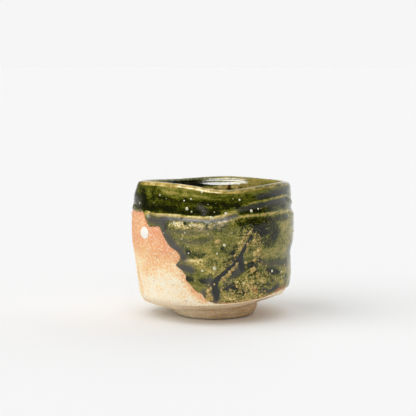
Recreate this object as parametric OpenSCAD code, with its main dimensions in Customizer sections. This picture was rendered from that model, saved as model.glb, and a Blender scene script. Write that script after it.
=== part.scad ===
// Guinomi, a small sake cup: a hand-formed stoneware bowl on a carved foot ring,
// with a thick ash glaze poured over the outside and a lining inside.
// Millimetres, +Z up. The origin is the centre of the foot's resting face, and the
// photographed front of the cup faces -Y. Azimuths run counter-clockwise from +X.

/* [Bowl] */
// Width of the glazed belt, left to right
cup_w = 65.2; // [52:0.1:80]
// Depth of the glazed belt, front to back
cup_d = 63; // [52:0.1:80]
// Height of the rim's highest point
cup_h = 55.3; // [44:0.1:70]
// Thickness of the clay wall at the belt
wall_t = 3.6; // [2.6:0.1:5]
// Thickness of the clay at the lip
lip_t = 2.4; // [1.6:0.1:3.4]
// Thickness of the clay floor above the foot ring
floor_t = 5.5; // [3.5:0.1:8]
// Radius of the inside corner, measured along the floor
corner_r = 16; // [8:0.5:20]
// Height of the inside corner above the floor
corner_h = 14; // [8:0.5:20]
// Dish in the middle of the floor, where sake gathers
floor_dish = 0.6; // [0:0.1:1.2]
// Sideways lean of the bowl over its foot, towards -X
lean = 1; // [0:0.1:2]
// Unevenness of the hand-formed wall
waver = 0.25; // [0:0.05:0.6]

/* [Spatula ridge] */
// Depth of the cut below the ridge
cut_t = 0.9; // [0.2:0.1:1.4]
// Height of the cut below the ridge
cut_h = 3.4; // [2:0.1:4.5]

/* [Foot ring] */
// Outer diameter of the foot, just above its chamfer
foot_d = 32; // [26:0.1:40]
// Height of the foot ring in its middle
foot_h = 3.6; // [2.5:0.1:4.5]
// Extra height of the foot on the right, and as much less on the left
foot_rise_right = 1.1; // [0:0.1:1.2]
// Extra height of the foot at the front, and as much less at the back
foot_rise_front = 0.7; // [0:0.1:0.9]
// Width of the ring, from outside to inside
foot_w = 4.6; // [3:0.1:7]
// Flare of the foot's outside, where it runs into the bowl
foot_flare = 1.2; // [0.2:0.1:2.5]
// Slope of the foot's inside, which narrows upwards
foot_slope = 0.6; // [0.1:0.1:1.5]
// Chamfer along both edges of the resting face
foot_chamfer = 0.5; // [0.2:0.1:0.9]
// Depth carved into the bowl inside the foot ring
recess_h = 1.2; // [0.5:0.1:2]
// Height of the small point left in the middle of the recess
tokin_h = 0.7; // [0.2:0.1:1]

/* [Glaze] */
// Thickness of the outer glaze
glaze_t = 0.5; // [0.3:0.05:0.8]
// Thickness of the lining
lining_t = 0.4; // [0.2:0.05:0.8]
// Thickness of the glaze on top of the lip, where it runs off
crest_t = 0.3; // [0.15:0.05:0.5]
// Clearance under what sits on the glaze or on the bare clay
seat_gap = 0.12; // [0.1:0.01:0.25]

/* [Glass runs] */
// Width of the dark glass run at its widest
run_w = 2.2; // [1.2:0.1:3.2]
// Height of the run above the glaze
run_t = 0.4; // [0.2:0.05:0.7]

/* [Stones and crumbs] */
// Diameter of the largest feldspar grain
grain_d = 1.5; // [0.8:0.1:2.2]
// Height of a grain as far as it stands out
grain_t = 0.35; // [0.2:0.05:0.6]
// Length of the bare white stone in the clay
patch_l = 4.2; // [2.5:0.1:5]
// Length of the largest ash crumb
crumb_l = 4; // [2:0.1:5]
// Height of an ash crumb
crumb_t = 0.7; // [0.3:0.05:1]

/* [Hidden] */
// Columns of the mesh round the cup
columns = 72;
// Facets of the round foot
$fn = 96;

// Rim height every 15 degrees of azimuth, as shares of cup_h
rim_shares = [
    0.969, 0.96, 0.955, 0.953, 0.955, 0.957, 0.953, 0.946, 0.942, 0.948, 0.957, 0.966,
    0.975, 0.986, 0.994, 1, 0.998, 0.987, 0.966, 0.96, 0.971, 0.982, 0.987, 0.98
];
// Height of the corner between wall and underside every 60 degrees, as shares of cup_h
hip_shares = [0.154, 0.15, 0.135, 0.108, 0.135, 0.155];
// Height of the spatula ridge every 30 degrees, as shares of cup_h
ridge_shares = [0.8, 0.81, 0.82, 0.82, 0.82, 0.82, 0.83, 0.81, 0.776, 0.765, 0.84, 0.82];
// Depth of the cut below the ridge every 60 degrees, as shares of cut_t
cut_side_shares = [0.35, 0.3, 0.3, 0.3, 1, 0.6];
// Outline of the cut: distance below the ridge over cut_h, depth over cut_t
cut_shares = [[0, 0], [0.22, 1], [0.7, 0.7], [1, 0]];
// Outline of the bare clay on the left: height over cup_h, radius over half the width
left_shares = [
    [0.108, 0.89], [0.17, 0.916], [0.24, 0.924], [0.32, 0.946], [0.465, 0.975], [0.53, 1],
    [0.62, 1.006], [0.752, 1.003], [0.775, 0.975], [0.88, 0.954], [0.935, 0.923], [1, 0.892]
];
// The same outline on the right
right_shares = [
    [0.154, 0.888], [0.185, 0.933], [0.24, 0.97], [0.31, 0.984], [0.38, 0.972], [0.465, 0.972],
    [0.54, 1.006], [0.72, 1.014], [0.79, 0.987], [0.9, 0.974], [1, 0.957]
];
// Lower edge of the outer glaze: azimuth in degrees, height as a share of cup_h
edge_shares = [
    [0, 0.221], [40, 0.24], [80, 0.28], [110, 0.36], [130, 0.5], [150, 0.68], [165, 0.745],
    [180, 0.768], [212, 0.772], [218, 0.7], [229, 0.69], [234, 0.6], [240, 0.54], [245, 0.5],
    [247, 0.42], [252, 0.34], [258, 0.257], [266, 0.19], [272, 0.172], [285, 0.162],
    [309, 0.18], [322, 0.2], [339, 0.213], [360, 0.221]
];
// Rows of the mesh between the glaze edge and the ridge, as shares of that height
low_shares = [1, 0.86, 0.72, 0.58, 0.45, 0.33, 0.22, 0.13, 0.07, 0.03, 0];
// Rows between the ridge and the shoulder of the lip, as shares of that height
high_shares = [0.12, 0.35, 0.6, 0.82, 1];
// Rows of bare clay between the hip and the glaze edge, as shares of that height
bare_shares = [0, 0.1, 0.3, 0.6];
// Rows down the inside from the lip to the corner, as shares of that height
inside_shares = [0.12, 0.35, 0.65, 1];
// Least height of the glaze edge above the hip, as a share of cup_h
edge_least_share = 0.01;
// Sag of the underside between foot and hip, as a share of foot_h
sag_share = 0.12;

// Dark glass run and its side branch: azimuth, height share of cup_h, width share of run_w
run_shares = [
    [299.6, 0.7, 0.25], [297, 0.64, 0.6], [292.5, 0.55, 0.75], [288, 0.48, 1], [283, 0.425, 0.75],
    [278, 0.375, 0.7], [273.5, 0.33, 0.8], [271.5, 0.28, 1], [272.6, 0.23, 0.9], [272.2, 0.19, 0.6]
];
branch_shares = [[291.6, 0.475, 0.5], [291.2, 0.44, 0.8], [291.4, 0.41, 0.5]];
// Feldspar grains: azimuth, height share of cup_h, size share of grain_d
grain_shares = [
    [229.5, 0.919, 0.7], [262.8, 0.953, 0.6], [255.4, 0.902, 0.6], [251.1, 0.888, 0.6],
    [252.6, 0.832, 1], [255.8, 0.808, 0.6], [289, 0.895, 0.8], [298.4, 0.814, 0.9],
    [303.7, 0.825, 0.7], [278.5, 0.579, 0.9], [266.4, 0.524, 0.7], [266.6, 0.421, 1],
    [253.2, 0.532, 0.7], [235.5, 0.555, 0.5], [20, 0.6, 0.8], [48, 0.44, 0.7], [75, 0.7, 0.9],
    [104, 0.55, 0.7], [330, 0.35, 0.8], [128, 0.8, 0.6], [190, 0.5, 0.6], [160, 0.35, 0.8]
];
// Ash crumbs: azimuth, height share of cup_h, length share of crumb_l, turn in degrees
crumb_shares = [
    [265.5, 0.235, 1, 60], [279.2, 0.312, 0.8, 35], [299.4, 0.396, 0.7, 80], [306, 0.3, 0.5, 0],
    [300.2, 0.262, 0.6, 20], [307.5, 0.447, 0.5, 10], [267, 0.611, 0.5, 0], [288, 0.24, 0.5, 40],
    [316, 0.37, 0.45, 30], [322, 0.27, 0.5, 70], [336, 0.3, 0.4, 0]
];
// Azimuth, height share of cup_h and turn in degrees of the bare white stone
patch_shares = [212.8, 0.633, 70];
// Width of that stone as a share of its length
patch_width_share = 0.62;
// Width of a crumb as a share of its length
crumb_width_share = 0.5;
// Corners round a grain, a stone or a crumb
grain_corners = 8;
// Size of a dome's upper ring as shares of its outline and of its height
dome_ring_share = 0.7;
dome_rise_share = 0.7;

half_w = cup_w / 2 - glaze_t;
half_d = cup_d / 2 - glaze_t;
foot_r = foot_d / 2;
foot_top_r = foot_r + foot_flare;
foot_flare_h = foot_h / 2;
foot_inner_r = foot_r - foot_w;
foot_inner_top_r = foot_inner_r - foot_slope;
recess_r = foot_inner_top_r - recess_h / 2;
floor_z = foot_h + floor_t;
corner_z = floor_z + corner_h;
clay_colour = [0.85, 0.66, 0.5];
glaze_colour = [0.3, 0.33, 0.16];
lining_colour = [0.36, 0.38, 0.2];

// Value between a and b, at share u of the way
function mix(a, b, u) = a + (b - a) * u;

// Value on the cubic curve through b and c, whose neighbours are a and d
function cubic(a, b, c, d, u) =
    b + u / 2 * (c - a + u * (2 * a - 5 * b + 4 * c - d + u * (3 * (b - c) + d - a)));

// Smooth value at an azimuth from a table of equal steps round the cup
function around(table, az) =
    let (n = len(table), place = az * n / 360, i = floor(place) + n)
    cubic(table[(i - 1) % n], table[i % n], table[(i + 1) % n], table[(i + 2) % n], place + n - i);

// Height of the slanted plane where the foot meets the bowl
function seam_z(x, y) = foot_h + (foot_rise_right * x - foot_rise_front * y) / foot_r;

function rim_z(az) = cup_h * around(rim_shares, az);
function hip_z(az) = cup_h * around(hip_shares, az);
function ridge_z(az) = cup_h * around(ridge_shares, az);
function edge_z(az) = max(cup_h * lookup(az, edge_shares), hip_z(az) + cup_h * edge_least_share);

// Radius of an oval of half the width and depth
function oval_r(az) = half_w * half_d / norm([half_d * cos(az), half_w * sin(az)]);

// Hand-formed unevenness, which fades at the four sides so that the width stays true
function uneven(az, z) =
    waver * (1 - cos(4 * az)) / 2 * (sin(3 * az + 300 * z / cup_h) + sin(7 * az - 420 * z / cup_h)) / 2;

// Depth of the spatula cut at a place on the wall
function cut(az, z) =
    cut_t * around(cut_side_shares, az) * lookup((ridge_z(az) - z) / cut_h, cut_shares);

// Radius of the clay's outside
function clay_r(az, z) =
    oval_r(az)
    * mix(lookup(z / cup_h, left_shares), lookup(z / cup_h, right_shares), (1 + cos(az)) / 2)
    + uneven(az, z) - cut(az, z);

// A station is the radius, the height and the direction of the surface, in degrees
// above the outward horizontal
function lip_z(az) = rim_z(az) - crest_t - lip_t / 2;
function lip_r(az) = clay_r(az, lip_z(az)) - lip_t / 2;
function lip_station(az, turn) =
    [lip_r(az) + lip_t / 2 * cos(turn), lip_z(az) + lip_t / 2 * sin(turn), turn];

function bare_stations(az) = [
    for (s = bare_shares)
        let (z = mix(hip_z(az), edge_z(az), s))
        [clay_r(az, z), z, 0]
];
function glazed_stations(az) = concat(
    [
        for (s = low_shares)
            let (z = ridge_z(az) - s * (ridge_z(az) - edge_z(az)))
            [clay_r(az, z), z, 0]
    ],
    [
        for (s = high_shares)
            let (z = mix(ridge_z(az), lip_z(az), s))
            [clay_r(az, z), z, 0]
    ],
    [lip_station(az, 45), lip_station(az, 90)]
);

// The inside runs from the lip to the belt, round the corner and on to the floor
function belt_inside_r(az) = oval_r(az) - wall_t;
function inside_stations(az) = concat(
    [lip_station(az, 90), lip_station(az, 135), lip_station(az, 180)],
    [
        for (s = inside_shares)
            [
                mix(lip_r(az) - lip_t / 2, belt_inside_r(az), (1 - cos(180 * s)) / 2),
                mix(lip_z(az), corner_z, s),
                180
            ]
    ],
    [
        for (turn = [22.5, 45, 67.5, 90])
            [
                belt_inside_r(az) - corner_r * (1 - cos(turn)),
                corner_z - corner_h * sin(turn),
                180 - turn
            ]
    ],
    [[(belt_inside_r(az) - corner_r) / 2, floor_z - floor_dish * 0.75, 90]]
);

// Point over a station, as far off the clay as thick
function lifted(az, station, thick) =
    let (r = station[0] + thick * cos(station[2]))
    [r * cos(az) - lean, r * sin(az), station[1] + thick * sin(station[2])];
function azimuths() = [for (j = [0 : columns - 1]) 360 * j / columns];

// Ring of points about the middle of the foot, as far above its slanted top as rise
function foot_circle(r, rise) = [
    for (az = azimuths())
        let (x = r * cos(az), y = r * sin(az))
        [x, y, seam_z(x, y) + rise]
];

// Rings turned from station lists: one list of points for each station
function rings(station_lists, thick) = [
    for (i = [0 : len(station_lists[0]) - 1])
        [
            for (j = [0 : columns - 1])
                lifted(azimuths()[j], station_lists[j][i], thick[min(i, len(thick) - 1)])
        ]
];
function reversed(list) = [for (i = [len(list) - 1 : -1 : 0]) list[i]];
function joined(lists) = [for (l = lists) each l];

// Two triangles between points a and c of one ring and b and d of the next. Rings that
// retrace another solid's rings the other way are split along the other diagonal, so
// that both solids meet on the same triangles
function split(a, b, c, d, retraced) =
    retraced ? [[a, b, d], [a, d, c]] : [[a, b, c], [c, b, d]];

// Closed solid between two end points, through rings that run anticlockwise from below.
// The first rings, as many as retraced, lie on another solid
module capped_solid(first_tip, ring_list, last_tip, retraced = 0) {
    n = len(ring_list[0]);
    m = len(ring_list);
    last = n * m + 1;
    points = concat([first_tip], joined(ring_list), [last_tip]);
    faces = concat(
        [for (j = [0 : n - 1]) [0, 1 + j, 1 + (j + 1) % n]],
        [
            for (i = [0 : m - 2])
                for (j = [0 : n - 1])
                    let (a = 1 + i * n, b = a + n, k = (j + 1) % n)
                    each split(a + j, b + j, a + k, b + k, i < retraced - 1)
        ],
        [for (j = [0 : n - 1]) [last, 1 + (m - 1) * n + (j + 1) % n, 1 + (m - 1) * n + j]]
    );
    polyhedron(points, faces, convexity = 4);
}

// Closed band through a loop of rings, of which the first, as many as retraced, lie on
// another solid
module band_solid(ring_list, retraced) {
    n = len(ring_list[0]);
    m = len(ring_list);
    faces = [
        for (i = [0 : m - 1])
            for (j = [0 : n - 1])
                let (a = i * n, b = (i + 1) % m * n, k = (j + 1) % n)
                each split(a + j, b + j, a + k, b + k, i < retraced - 1)
    ];
    polyhedron(joined(ring_list), faces, convexity = 6);
}

module clay_bowl() {
    bare = [for (az = azimuths()) bare_stations(az)];
    glazed = [for (az = azimuths()) glazed_stations(az)];
    inside = [for (az = azimuths()) inside_stations(az)];
    foot_top = foot_circle(foot_top_r, 0);
    hip = rings(bare, [0])[0];
    underside = [
        for (j = [0 : columns - 1])
            (foot_top[j] + hip[j]) / 2 - [0, 0, foot_h * sag_share]
    ];
    inner_rings = rings(inside, [0]);
    color(clay_colour)
        capped_solid(
            [0, 0, foot_h + recess_h - tokin_h],
            concat(
                [
                    foot_circle(recess_r / 2, recess_h),
                    foot_circle(recess_r, recess_h),
                    foot_circle(foot_inner_top_r, 0),
                    foot_top,
                    underside
                ],
                rings(bare, [0]),
                rings(glazed, [0]),
                [for (i = [1 : len(inner_rings) - 1]) inner_rings[i]]
            ),
            [-lean, 0, floor_z - floor_dish]
        );
}

module foot_ring() {
    turn_y = -atan(foot_rise_right / foot_r);
    turn_x = -atan(foot_rise_front / foot_r * cos(turn_y));
    highest = foot_h + foot_rise_right + foot_rise_front;
    color(clay_colour)
        difference() {
            rotate_extrude()
                polygon([
                    [foot_inner_r + foot_chamfer, 0],
                    [foot_r - foot_chamfer, 0],
                    [foot_r, foot_chamfer],
                    [foot_top_r, foot_flare_h],
                    [foot_top_r, 2 * highest],
                    [foot_inner_top_r, 2 * highest],
                    [foot_inner_top_r, foot_flare_h],
                    [foot_inner_r, foot_chamfer]
                ]);
            translate([0, 0, foot_h])
                rotate([turn_x, turn_y, 0])
                    translate([-cup_w / 2, -cup_w / 2, 0])
                        cube([cup_w, cup_w, 4 * highest]);
        }
}

module outer_glaze() {
    glazed = [for (az = azimuths()) glazed_stations(az)];
    rows = len(glazed[0]);
    thick = [for (i = [0 : rows - 1]) i < rows - 1 ? glaze_t : crest_t];
    color(glaze_colour)
        band_solid(concat(reversed(rings(glazed, [0])), rings(glazed, thick)), rows);
}

module inner_glaze() {
    inside = [for (az = azimuths()) inside_stations(az)];
    rows = len(inside[0]);
    thick = [for (i = [0 : rows - 1]) i > 0 ? lining_t : crest_t];
    color(lining_colour)
        capped_solid(
            [-lean, 0, floor_z - floor_dish],
            concat(reversed(rings(inside, [0])), rings(inside, thick)),
            [-lean, 0, floor_z - floor_dish + lining_t],
            rows
        );
}

// Radius of the faceted wall at a column's azimuth, glazed or bare
function column_r(az, z) =
    z > edge_z(az)
        ? lookup(z, [for (s = glazed_stations(az)) [s[1], s[0]]]) + glaze_t
        : lookup(z, [for (s = concat(bare_stations(az), [glazed_stations(az)[0]])) [s[1], s[0]]]);

// Point over the faceted wall between two columns, as far out as given
function on_surface(az, z, out) =
    let (
        step = 360 / columns,
        first = floor(az / step) * step,
        r = mix(column_r(first, z), column_r(first + step, z), (az - first) / step) + seat_gap + out
    )
    [r * cos(az) - lean, r * sin(az), z];

// Low dome seated on the wall, with its length turned from the horizontal
module dome(az, z, length, width, height, turn) {
    degrees_per_mm = 180 / (PI * half_w);
    corner = function (k, size)
        let (
            a = 360 * k / grain_corners,
            along = size * length / 2 * cos(a),
            across = size * width / 2 * sin(a)
        )
        [
            az + degrees_per_mm * (along * cos(turn) - across * sin(turn)),
            z + along * sin(turn) + across * cos(turn)
        ];
    ring = function (size, out) [
        for (k = [0 : grain_corners - 1])
            on_surface(corner(k, size)[0], corner(k, size)[1], out)
    ];
    // Azimuth and height turn the ring about the outward normal, so that it runs
    // anticlockwise when seen from outside the cup
    capped_solid(
        on_surface(az, z, 0),
        [ring(1, 0), ring(dome_ring_share, height * dome_rise_share)],
        on_surface(az, z, height)
    );
}

// Strip of glass along a line of places on the wall, thin at both ends
module run(places) {
    degrees_per_mm = 180 / (PI * half_w);
    section = function (p)
        let (
            half = degrees_per_mm * run_w * p[2] / 2,
            top = half / 2,
            z = cup_h * p[1],
            rise = run_t * p[2]
        )
        [
            on_surface(p[0] - half, z, 0),
            on_surface(p[0] + half, z, 0),
            on_surface(p[0] + top, z, rise),
            on_surface(p[0] - top, z, rise)
        ];
    sections = [for (p = places) section(p)];
    capped_solid(
        (sections[0][0] + sections[0][1] + sections[0][2] + sections[0][3]) / 4,
        sections,
        let (s = sections[len(sections) - 1]) (s[0] + s[1] + s[2] + s[3]) / 4
    );
}

module glass_runs() {
    color([0.1, 0.13, 0.08]) {
        run(run_shares);
        run(branch_shares);
    }
}

module feldspar_stones() {
    color([0.93, 0.92, 0.86]) {
        for (g = grain_shares)
            dome(g[0], cup_h * g[1], grain_d * g[2], grain_d * g[2], grain_t * g[2], 0);
        dome(
            patch_shares[0], cup_h * patch_shares[1], patch_l, patch_l * patch_width_share,
            grain_t, patch_shares[2]
        );
    }
}

module ash_crumbs() {
    color([0.74, 0.63, 0.38])
        for (c = crumb_shares)
            dome(
                c[0], cup_h * c[1], crumb_l * c[2], crumb_l * c[2] * crumb_width_share,
                crumb_t * c[2], c[3]
            );
}

clay_bowl();
foot_ring();
outer_glaze();
inner_glaze();
glass_runs();
feldspar_stones();
ash_crumbs();
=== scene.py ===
"""A guinomi, a small sake cup of stoneware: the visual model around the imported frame.

Lengths are millimetres until a mesh is made, which turns them into metres. Azimuths
are degrees anticlockwise from +X, so the photographed front is at 270. Pixels are
places in the photograph's 416 by 416 frame.
"""

import functools
import math

import bpy
import numpy as np
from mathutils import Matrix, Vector


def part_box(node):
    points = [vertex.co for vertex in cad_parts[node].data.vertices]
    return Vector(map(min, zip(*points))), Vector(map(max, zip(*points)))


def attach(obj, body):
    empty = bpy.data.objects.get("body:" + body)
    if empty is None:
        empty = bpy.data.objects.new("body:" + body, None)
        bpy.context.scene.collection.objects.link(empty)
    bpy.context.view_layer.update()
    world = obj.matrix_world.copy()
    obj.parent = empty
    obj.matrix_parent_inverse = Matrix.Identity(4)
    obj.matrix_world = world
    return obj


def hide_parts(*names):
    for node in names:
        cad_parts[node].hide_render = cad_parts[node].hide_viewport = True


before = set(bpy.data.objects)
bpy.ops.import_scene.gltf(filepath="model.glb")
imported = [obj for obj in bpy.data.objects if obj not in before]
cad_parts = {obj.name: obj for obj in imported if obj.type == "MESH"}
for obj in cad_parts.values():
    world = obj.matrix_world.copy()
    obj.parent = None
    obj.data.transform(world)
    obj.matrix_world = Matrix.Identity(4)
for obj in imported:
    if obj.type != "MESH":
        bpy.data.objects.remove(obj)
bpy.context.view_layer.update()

MM = 0.001


def node_corner(node):
    """Highest corner of a CAD node's box in millimetres."""
    return np.array(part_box(node)[1]) / MM


# Sizes of the cup: from the frame where a box shows them, and else as in the CAD source
CUP_H = node_corner("outer_glaze")[2]
GLAZE_T, _, CREST_T = node_corner("outer_glaze") - node_corner("clay_bowl")
FOOT_TOP_R = node_corner("foot_ring")[0]
HALF_W = 32.1
HALF_D = 31.0
LEAN = 1.0
WALL_T = 3.6
LIP_T = 2.4
FLOOR_T = 5.5
FLOOR_DISH = 0.6
CORNER_R = 16.0
CORNER_H = 14.0
WAVER = 0.25
CUT_T = 0.9
FOOT_H = 3.6
FOOT_RISE_RIGHT = 1.1
FOOT_RISE_FRONT = 0.7
FOOT_R = 16.0
FOOT_W = 4.6
FOOT_SLOPE = 0.6
FOOT_CHAMFER = 0.5
RECESS_H = 1.2
TOKIN_H = 0.7
LINING_T = 0.4
RUN_T = 0.4
GRAIN_D = 1.5
GRAIN_T = 0.35

# Once round the unrolled wall
TURN = 2 * math.pi * HALF_W

# Small forms that only the looks have: the bevel of the left hip, the foot's undercut, the
# sag of the underside, and the swell of the lining with the roll over it
BEVEL_T = 0.9
UNDERCUT = 2.0
UNDERSIDE_SAG = 0.43
SWELL_AT = 80
SWELL_REACH = 38
SWELL_T = 1.5
ROLL_T = 0.5

# How far inside the CAD's surfaces lie the coats' backs, the clay's lip and bowl, the
# undersides of the coats on the lip, and the clay's wall under the outer coat
SINK_T = 0.1
CLAY_SINK = 0.03
LIP_SINK = 0.02
WALL_SINK = 0.35

# Outer coat: width of its rolled edge, thickness right at the edge and thinnest beyond it
ROLLED_EDGE_W = 0.7
EDGE_T = 0.02
THINNEST_T = 0.15

# How far the corners of the outline tables are rounded off, in shares of the height
OUTLINE_EASE = 0.016

# Camera of the photograph
CAMERA_AT = (-2.55, -650.0, 121.0)
CAMERA_PITCH = 6.86
IMAGE_SIDE = 416
FOCAL_PX = 1625.0
SENSOR_MM = 36.0
BACKGROUND_LEVEL = 0.92
# Where the lamps look, in metres
CUP_MIDDLE = (0, 0, 0.03)

# Rows of the meshes, and the height of the close rows along the coat's edge
BARE_ROWS = 78
UNDER_COAT_ROWS = 14
EDGE_BAND_H = 1.0
EDGE_ROWS = 9
COAT_ROWS = 136
COAT_BACK_ROWS = 10
INSIDE_ROWS = 60
CORNER_ROWS = 30
FLOOR_ROWS = 9
UNDERSIDE_ROWS = 24
# Columns of the meshes, closer together on the photographed side
BACK_COLUMNS = 160
FRONT_COLUMNS = 400
AZIMUTHS = np.concatenate([
    np.arange(BACK_COLUMNS) * 180 / BACK_COLUMNS,
    180 + np.arange(FRONT_COLUMNS) * 180 / FRONT_COLUMNS,
])

# Outline tables, in shares as in the CAD source
RIM_SHARES = [
    0.969, 0.96, 0.955, 0.953, 0.955, 0.957, 0.953, 0.946, 0.942, 0.948, 0.957, 0.966,
    0.975, 0.986, 0.994, 1, 0.998, 0.987, 0.966, 0.96, 0.971, 0.982, 0.987, 0.98,
]
HIP_SHARES = [0.154, 0.15, 0.135, 0.108, 0.135, 0.155]
# The knife took a little more off the hip at the right of the front
HIP_LIFT = 1.2
HIP_LIFT_AT = 326
HIP_LIFT_REACH = 21
LEFT_SHARES = [
    (0.108, 0.89), (0.17, 0.916), (0.24, 0.924), (0.32, 0.946), (0.465, 0.975), (0.53, 1),
    (0.62, 1.006), (0.752, 1.003), (0.775, 0.975), (0.88, 0.954), (0.935, 0.923), (1, 0.892),
]
RIGHT_SHARES = [
    (0.154, 0.888), (0.185, 0.933), (0.24, 0.97), (0.31, 0.984), (0.38, 0.972), (0.465, 0.972),
    (0.54, 1.006), (0.72, 1.014), (0.79, 0.987), (0.9, 0.974), (1, 0.957),
]

# Lines on the wall in the photograph, left to right
EDGE_PIXELS = [
    (132.9, 208.5), (136.1, 211.5), (141.5, 211), (144, 215.5), (145.9, 223.1), (147.5, 226.4),
    (152.9, 226.9), (158.9, 226.2), (161.6, 231.8), (165.4, 240.5), (169.7, 247), (175.5, 251.3),
    (179, 254.5), (180.4, 258), (181.2, 262), (181.8, 266), (182.4, 270), (184, 273.5),
    (186.2, 276), (187.2, 281),
    (190.3, 286), (194.1, 290.3), (197.4, 293.6), (201.7, 294.9), (203.9, 299), (208.2, 301.7),
    (214.7, 303.3), (225.6, 304.6), (236.4, 304.4), (247.3, 302.8), (258.1, 300.1),
    (268.9, 295.8), (279.8, 290.9), (285.2, 288.2),
]
RIDGE_PIXELS = [
    (147, 213), (155.4, 215.5), (167, 215.9), (179, 216.9), (190.8, 218.1), (202.6, 219),
    (214.4, 219), (222.6, 216.9), (232, 213.4), (243, 210.6),
]
SECOND_RIDGE_PIXELS = [(245, 206.1), (253.3, 203.3), (262.4, 201.4), (273.4, 199), (285.5, 195.8)]
THIRD_RIDGE_PIXELS = [
    (228.8, 222), (236.4, 219.3), (244.5, 216.8), (258, 215.6), (267.9, 214.3), (279.8, 212.6),
    (288.5, 211.2),
]
# Where two of them and the coat's edge go on round the unseen side: azimuth, height share
SECOND_RIDGE_BACK_SHARES = [(360, 0.815), (400, 0.81), (440, 0.825), (510, 0.82)]
THIRD_RIDGE_BACK_SHARES = [(360, 0.735), (400, 0.725), (440, 0.74), (480, 0.735), (560, 0.8)]
EDGE_BACK_SHARES = [
    (0, 0.196), (40, 0.235), (80, 0.28), (110, 0.36), (130, 0.5), (150, 0.68), (165, 0.745),
]


# Smooth tables and noise

def blend(field, value, share):
    """The field, moved towards a value by a share of the way."""
    return field + (value - field) * share


def cubic(a, b, c, d, u):
    """Value at a share u of the way from b to c, on the smooth curve through all four."""
    return b + u / 2 * (c - a + u * (2 * a - 5 * b + 4 * c - d + u * (3 * (b - c) + d - a)))


def around(table, azimuth):
    """Value at azimuths on a cubic curve through equal steps round the cup."""
    values = np.array(table, float)
    spot = (np.asarray(azimuth, float) % 360) * len(values) / 360
    first = np.floor(spot).astype(int)
    return cubic(*(values[(first + k) % len(values)] for k in (-1, 0, 1, 2)), spot - first)


def along(table, x):
    """Straight lines through a table of pairs, level beyond its ends."""
    pairs = np.array(table, float)
    return np.interp(x, pairs[:, 0], pairs[:, 1])


def eased(table, x, reach):
    """The same lines with their corners rounded off over reach on either side."""
    offsets = np.linspace(-reach, reach, 7)
    return sum(along(table, x + offset) for offset in offsets) / len(offsets)


def smooth_step(low, high, x):
    """0 below low, 1 above high and an S-curve between."""
    u = np.clip((np.asarray(x) - low) / (high - low), 0, 1)
    return u * u * (3 - 2 * u)


def right_side(azimuth, low, high):
    """0 on the left and 1 on the right, passing over the front between two azimuths."""
    return np.where(azimuth < 180, smooth_step(150, 40, azimuth), smooth_step(low, high, azimuth))


def bell(x, reach):
    """1 at 0, and falling off smoothly over reach on either side."""
    return np.exp(-(np.asarray(x) / reach) ** 2)


def degrees_past(azimuth, middle):
    """Degrees from a middle azimuth, from -180 to 180."""
    return (np.asarray(azimuth) - middle + 180) % 360 - 180


def round_back(azimuth):
    """Azimuths of the unseen side counted past 360, so that lines run on over +X."""
    return np.where(np.asarray(azimuth) < 180, np.asarray(azimuth) + 360, azimuth)


def noise(u, v, cell_u, cell_v, seed):
    """Smooth noise from -1 to 1 on the unrolled wall, seamless round the cup."""
    across = max(3, round(TURN / cell_u))
    rows = 256
    values = np.random.RandomState(seed).uniform(-1, 1, (across, rows))
    x = u / TURN * across
    y = v / cell_v + 100
    x0, y0 = np.floor(x).astype(int), np.floor(y).astype(int)
    fx, fy = x - x0, y - y0
    fx, fy = fx * fx * (3 - 2 * fx), fy * fy * (3 - 2 * fy)
    x0, x1 = x0 % across, (x0 + 1) % across
    y0, y1 = y0 % rows, (y0 + 1) % rows
    low = values[x0, y0] * (1 - fx) + values[x1, y0] * fx
    high = values[x0, y1] * (1 - fx) + values[x1, y1] * fx
    return low * (1 - fy) + high * fy


def layered_noise(u, v, cell_u, cell_v, seed):
    """Three octaves of the noise."""
    return (
        noise(u, v, cell_u, cell_v, seed)
        + 0.5 * noise(u, v, cell_u / 2, cell_v / 2, seed + 1)
        + 0.25 * noise(u, v, cell_u / 4, cell_v / 4, seed + 2)
    ) / 1.75


# The wall's shape

def rim_z(azimuth):
    return CUP_H * around(RIM_SHARES, azimuth)


def hip_z(azimuth):
    lift = HIP_LIFT * bell(degrees_past(azimuth, HIP_LIFT_AT), HIP_LIFT_REACH)
    return CUP_H * around(HIP_SHARES, azimuth) + lift


def oval_r(azimuth):
    a = np.radians(azimuth)
    return HALF_W * HALF_D / np.hypot(HALF_D * np.cos(a), HALF_W * np.sin(a))


def plain_r(azimuth, z):
    """Radius of the clay's outside before the spatula marks."""
    a = np.radians(azimuth)
    share = z / CUP_H
    left, right = (eased(table, share, OUTLINE_EASE) for table in (LEFT_SHARES, RIGHT_SHARES))
    outline = blend(left, right, (1 + np.cos(a)) / 2)
    uneven = WAVER * (1 - np.cos(4 * a)) / 2 * (
        np.sin(3 * a + np.radians(300 * share)) + np.sin(7 * a - np.radians(420 * share))
    ) / 2
    return oval_r(azimuth) * outline + uneven


def place(azimuth, radius, z):
    """Points in the frame, in millimetres, from azimuth, radius and height."""
    a = np.radians(azimuth)
    return np.stack([radius * np.cos(a) - LEAN, radius * np.sin(a), z + 0 * radius], -1)


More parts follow.
